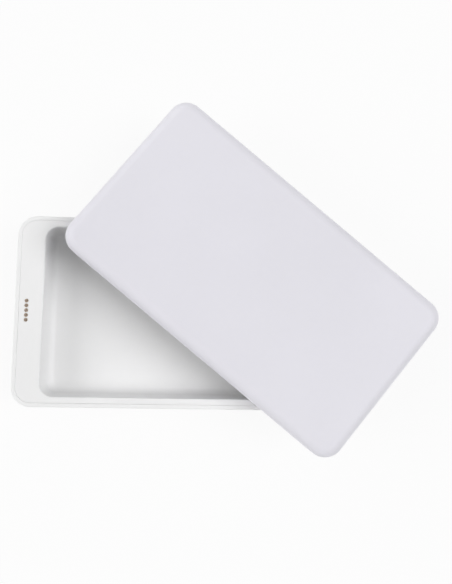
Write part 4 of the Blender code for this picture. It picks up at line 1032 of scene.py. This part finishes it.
def lid_crown_rings(brow, shoulder):
    """The gently crowned top: outlines that grow rounder towards the middle."""
    rings = []
    reach = BOX_PLAN[1] - brow
    edge_radius = max(BOX_PLAN[2] - brow, SMALLEST_RADIUS)
    for step in range(CROWN_STEPS - 1, 0, -1):
        share = step / CROWN_STEPS
        half_width = reach * (1.0 - share)
        rounder = (half_width - edge_radius) * min(CROWN_PACE * share, CROWN_ROUNDEST)
        radius = min(edge_radius + rounder, half_width * CROWN_LARGEST)
        rise = LID_CROWN * share * share * (3.0 - 2.0 * share)
        rings.append(plan_ring(BOX_PLAN, brow + reach * share, shoulder + rise, radius))
    return rings


def lid_shell_rings():
    """Levels of the lid's cover: from its crown down the outside, and up again inside."""
    shoulder = LID_HEIGHT - LID_CROWN
    wall_top = shoulder - LID_TOP_ROUND
    top_inset = lid_wall_inset(wall_top)
    rings = lid_crown_rings(top_inset + LID_TOP_ROUND, shoulder)
    for across, rise in reversed(quarter(LID_TOP_ROUND, 2 * ROUND_STEPS)):
        rings.append(plan_ring(BOX_PLAN, top_inset + across, wall_top + rise))
    low_inset = lid_wall_inset(LID_LOWER_ROUND)
    for across, rise in quarter(LID_LOWER_ROUND, EDGE_STEPS):
        rings.append(plan_ring(BOX_PLAN, low_inset + across, LID_LOWER_ROUND - rise))
    ring_inset = LID_INSET + RING_WIDTH
    for across, rise in reversed(quarter(SEAM_EDGE_ROUND, EDGE_STEPS)):
        rings.append(plan_ring(BOX_PLAN, ring_inset - across, SEAM_EDGE_ROUND - rise))
    ledge_foot = RIM_PLATE + GAP
    ledge_top = ledge_foot + LEDGE_DEPTH
    ledge_inset = ring_inset + LEDGE_WIDTH
    blend = ledge_top + LEDGE_WIDTH
    rings.append(plan_ring(BOX_PLAN, ring_inset, ledge_foot))
    rings.append(plan_ring(BOX_PLAN, ledge_inset, ledge_foot))
    rings.append(plan_ring(BOX_PLAN, ledge_inset, ledge_top))
    rings.append(plan_ring(BOX_PLAN, lid_wall_inset(blend) + WALL, blend))
    high = LID_HEIGHT - LID_CROWN - WALL - LID_INNER_ROUND
    inner_inset = lid_wall_inset(high) + WALL
    for across, rise in quarter(LID_INNER_ROUND, EDGE_STEPS):
        rings.append(plan_ring(BOX_PLAN, inner_inset + across, high + rise))
    return rings


def make_lid_shell(looks):
    """The lid's cover."""
    body = bmesh.new()
    skin(body, lid_shell_rings())
    piece("lid_shell_fine", body, [looks["lid"]], "lid", LID_PLACE, ["lid_shell"])


def make_lid_liner(looks):
    """The lid's underside: rim plate, recess and a grille of round-ended slots under the lamps."""
    body = bmesh.new()
    skin(body, moulding_rings(RECESS_DEPTH, RECESS_FILLET, LID_INSET + RING_WIDTH + SEAM))
    back = -RECESS_DEPTH - MOULDING_WALL
    boss_end = back - LINER_BOSS_RISE
    boss = [(LINER_BOSS_RADIUS, boss_end), (LINER_BOSS_RADIUS, back + MOULDING_WALL / 2)]
    bosses = bmesh.new()
    for _, x, y in corners_of(LINER_SCREW_X, LINER_SCREW_Y):
        turned(bosses, boss, place=at(x, y))
    body = carve(body, bosses, "UNION")
    cuts = bmesh.new()
    contact_holes(cuts, PAD_RADIUS)
    seat = -(RECESS_DEPTH + LINER_SCREW_SUNK + SCREW_HEAD_HEIGHT + GAP)
    mouth_radius = COUNTERBORE_RADIUS + LINER_BORE_EASE
    bore = [(BORE_RADIUS, boss_end - OVERRUN), (BORE_RADIUS, seat), (COUNTERBORE_RADIUS, seat)]
    bore += [(COUNTERBORE_RADIUS, -RECESS_DEPTH - LINER_BORE_EASE), (mouth_radius, -RECESS_DEPTH)]
    bore += [(mouth_radius, OVERRUN - RECESS_DEPTH)]
    for _, x, y in corners_of(LINER_SCREW_X, LINER_SCREW_Y):
        turned(cuts, bore, SMALL_CIRCLE, place=at(x, y))
    body = carve(body, cuts)
    half_long, half_short = SLOT
    levels = ((0.0, back - OVERRUN), (0.0, -RECESS_DEPTH - SLOT_EASE))
    levels += ((SLOT_EASE, -RECESS_DEPTH), (SLOT_EASE, OVERRUN - RECESS_DEPTH))
    slot = [stadium(half_long + ease, half_short + ease, z, SLOT_STEPS) for ease, z in levels]
    slots = bmesh.new()
    for index in range(SLOTS):
        skin(slots, slot, False, at((index - (SLOTS - 1) / 2) * SLOT_PITCH, 0.0))
    body = carve(body, slots)
    place = LID_PLACE @ UPSIDE_DOWN
    piece("lid_liner_fine", body, [looks["liner"]], "lid", place, ["lid_liner"])


def make_liner_screws(looks):
    """Four screws in the recess. The front right one stays on the lid's carrier, as its axis."""
    level = RECESS_DEPTH + LINER_SCREW_SUNK
    for name, x, y in corners_of(LINER_SCREW_X, LINER_SCREW_Y):
        bm = cross_head_screw(LINER_SCREW_LENGTH)
        body = "lid_carrier" if name == "front_right" else "lid"
        label = "liner_screw_" + name
        place = LID_PLACE @ at(x, y, level)
        piece(label + "_fine", bm, [looks["steel"]], body, place, [label])


def make_contact_pads(looks):
    """Five pads with a bevelled edge and a shallow dimple."""
    profile = [*PAD_DIMPLE, (PAD_RADIUS - CONTACT_BEVEL, 0.0)]
    profile += [(PAD_RADIUS, CONTACT_BEVEL), (PAD_RADIUS, PAD_LENGTH)]
    for number, y in enumerate(CONTACT_YS, 1):
        bm = bmesh.new()
        turned(bm, profile, SMALL_CIRCLE)
        label = f"contact_pad_{number}"
        place = LID_PLACE @ at(CONTACT_X, y)
        piece(label + "_fine", bm, [looks["gold"]], "lid", place, [label])


def make_lamps(looks):
    """Two hollow quartz tubes with drawn metal ends, each with an electrode inside."""
    straight = GLASS_HALF_LENGTH - GLASS_TAPER
    outside = [(GLASS_END_RADIUS, -GLASS_HALF_LENGTH), (GLASS_RADIUS, -straight)]
    outside += [(GLASS_RADIUS, straight), (GLASS_END_RADIUS, GLASS_HALF_LENGTH)]
    inside = [(radius - GLASS_WALL, z) for radius, z in reversed(outside)]
    along = Matrix.Rotation(math.radians(90.0), 4, "Y")
    for side, y in LAMP_YS.items():
        bm = bmesh.new()
        turned(bm, outside + inside, SMALL_CIRCLE, True)
        for end in (-1.0, 1.0):
            turned(bm, [(radius, end * z) for radius, z in LAMP_END], SMALL_CIRCLE, finish=1)
        label = "uv_lamp_" + side
        place = LID_PLACE @ at(0.0, y, LAMP_LEVEL) @ along
        look = [looks["quartz"], looks["nickel"]]
        piece(label + "_fine", bm, look, "lid", place, [label])


def finish_kept_nodes(looks):
    """Gives each node that stays in view its own material."""
    finishes = {
        "base_magnet_": "nickel",
        "lid_magnet_": "nickel",
        "contact_block": "black",
        "main_board": "board",
        "switch_body": "black",
        "switch_plunger": "button",
        "charging_coil": "copper",
        "ferrite_sheet": "ferrite",
        "base_ribbon": "ribbon",
        "lid_driver_board": "lid_board",
        "lamp_holder_": "holder",
        "reflector": "mirror",
    }
    for name, node in nodes.items():
        if node.hide_render:
            continue
        for start, look in finishes.items():
            if name.startswith(start):
                for slot in node.material_slots:
                    slot.material = looks[look]


# Floor, light and camera


def seen_directly(tree):
    """A 1 for rays that show the background: from the camera, in a mirror or through glass."""
    rays = tree.nodes.new("ShaderNodeLightPath").outputs
    first = maths(tree, "MAXIMUM", rays["Is Camera Ray"], rays["Is Glossy Ray"])
    return maths(tree, "MAXIMUM", first, rays["Is Transmission Ray"])


def mixed(tree, share, first, second, surface):
    """Sends a mix of two shaders to a surface."""
    mix = tree.nodes.new("ShaderNodeMixShader")
    tree.links.new(share, mix.inputs["Fac"])
    tree.links.new(first, mix.inputs[1])
    tree.links.new(second, mix.inputs[2])
    tree.links.new(mix.outputs["Shader"], surface)


def make_floor():
    """A wide pale floor that looks white and keeps a faint shadow."""
    bm = bmesh.new()
    skin(bm, [circle(FLOOR_RADIUS, z, FLOOR_FACETS) for z in (-FLOOR_THICKNESS, 0.0)])
    mesh = bpy.data.meshes.new("floor")
    bm.to_mesh(mesh)
    bm.free()
    look = bpy.data.materials.new("floor_white")
    look.use_nodes = True
    tree = look.node_tree
    tree.nodes.remove(tree.nodes["Principled BSDF"])
    matte = tree.nodes.new("ShaderNodeBsdfDiffuse")
    matte.inputs["Color"].default_value = (FLOOR_COLOR, FLOOR_COLOR, FLOOR_COLOR, 1.0)
    glow = tree.nodes.new("ShaderNodeEmission")
    glow.inputs["Strength"].default_value = 1.0
    share = maths(tree, "MULTIPLY", seen_directly(tree), FLOOR_GLOW)
    surface = tree.nodes["Material Output"].inputs["Surface"]
    mixed(tree, share, matte.outputs["BSDF"], glow.outputs["Emission"], surface)
    mesh.materials.append(look)
    floor = bpy.data.objects.new("floor", mesh)
    bpy.context.scene.collection.objects.link(floor)


def make_world():
    """Even light from all round, and a white background where it is seen."""
    world = bpy.data.worlds.new("studio")
    bpy.context.scene.world = world
    world.use_nodes = True
    tree = world.node_tree
    around = tree.nodes["Background"]
    backdrop = tree.nodes.new("ShaderNodeBackground")
    for node, strength in ((around, AMBIENT), (backdrop, BACKDROP)):
        node.inputs["Color"].default_value = (1.0, 1.0, 1.0, 1.0)
        node.inputs["Strength"].default_value = strength
    surface = tree.nodes["World Output"].inputs["Surface"]
    share = seen_directly(tree)
    mixed(tree, share, around.outputs["Background"], backdrop.outputs["Background"], surface)


def make_studio_light(name, azimuth, elevation, width, share, glints):
    """A wide distant light. Without glints it lights the surfaces but isn't seen in them."""
    data = bpy.data.lights.new(name, "SUN")
    data.energy = share * math.pi
    data.angle = math.radians(width)
    light = bpy.data.objects.new(name, data)
    bpy.context.scene.collection.objects.link(light)
    turn = Matrix.Rotation(math.radians(azimuth), 4, "Z")
    tip = Matrix.Rotation(math.radians(90.0 - elevation), 4, "Y")
    light.matrix_world = turn @ tip
    light.visible_glossy = glints


def make_camera():
    """The camera of the photograph."""
    data = bpy.data.cameras.new("camera")
    data.sensor_width = CAMERA_SENSOR
    data.lens = CAMERA_LENS
    data.clip_start = CAMERA_NEAR
    camera = bpy.data.objects.new("camera", data)
    bpy.context.scene.collection.objects.link(camera)
    view = (
        Matrix.Rotation(-CAMERA_ROLL, 3, "Z")
        @ Matrix.Rotation(CAMERA_SWAY, 3, "Y")
        @ Matrix.Rotation(-CAMERA_TILT, 3, "X")
    )
    camera.matrix_world = at(*CAMERA_PLACE) @ view.transposed().to_4x4()
    bpy.context.scene.camera = camera


def build():
    """Makes the pieces, the floor, the light and the camera."""
    looks = make_looks()
    make_base_shell(looks)
    make_base_tray(looks)
    make_feet(looks)
    make_base_screws(looks)
    make_contacts(looks)
    make_power_button(looks)
    make_usb_socket(looks)
    make_light_pipe(looks)
    make_lid_shell(looks)
    make_lid_liner(looks)
    make_liner_screws(looks)
    make_contact_pads(looks)
    make_lamps(looks)
    finish_kept_nodes(looks)
    make_floor()
    make_world()
    for name, settings in STUDIO_LIGHTS.items():
        make_studio_light(name, *settings)
    make_camera()
    bpy.context.scene.view_settings.view_transform = "Standard"


build()
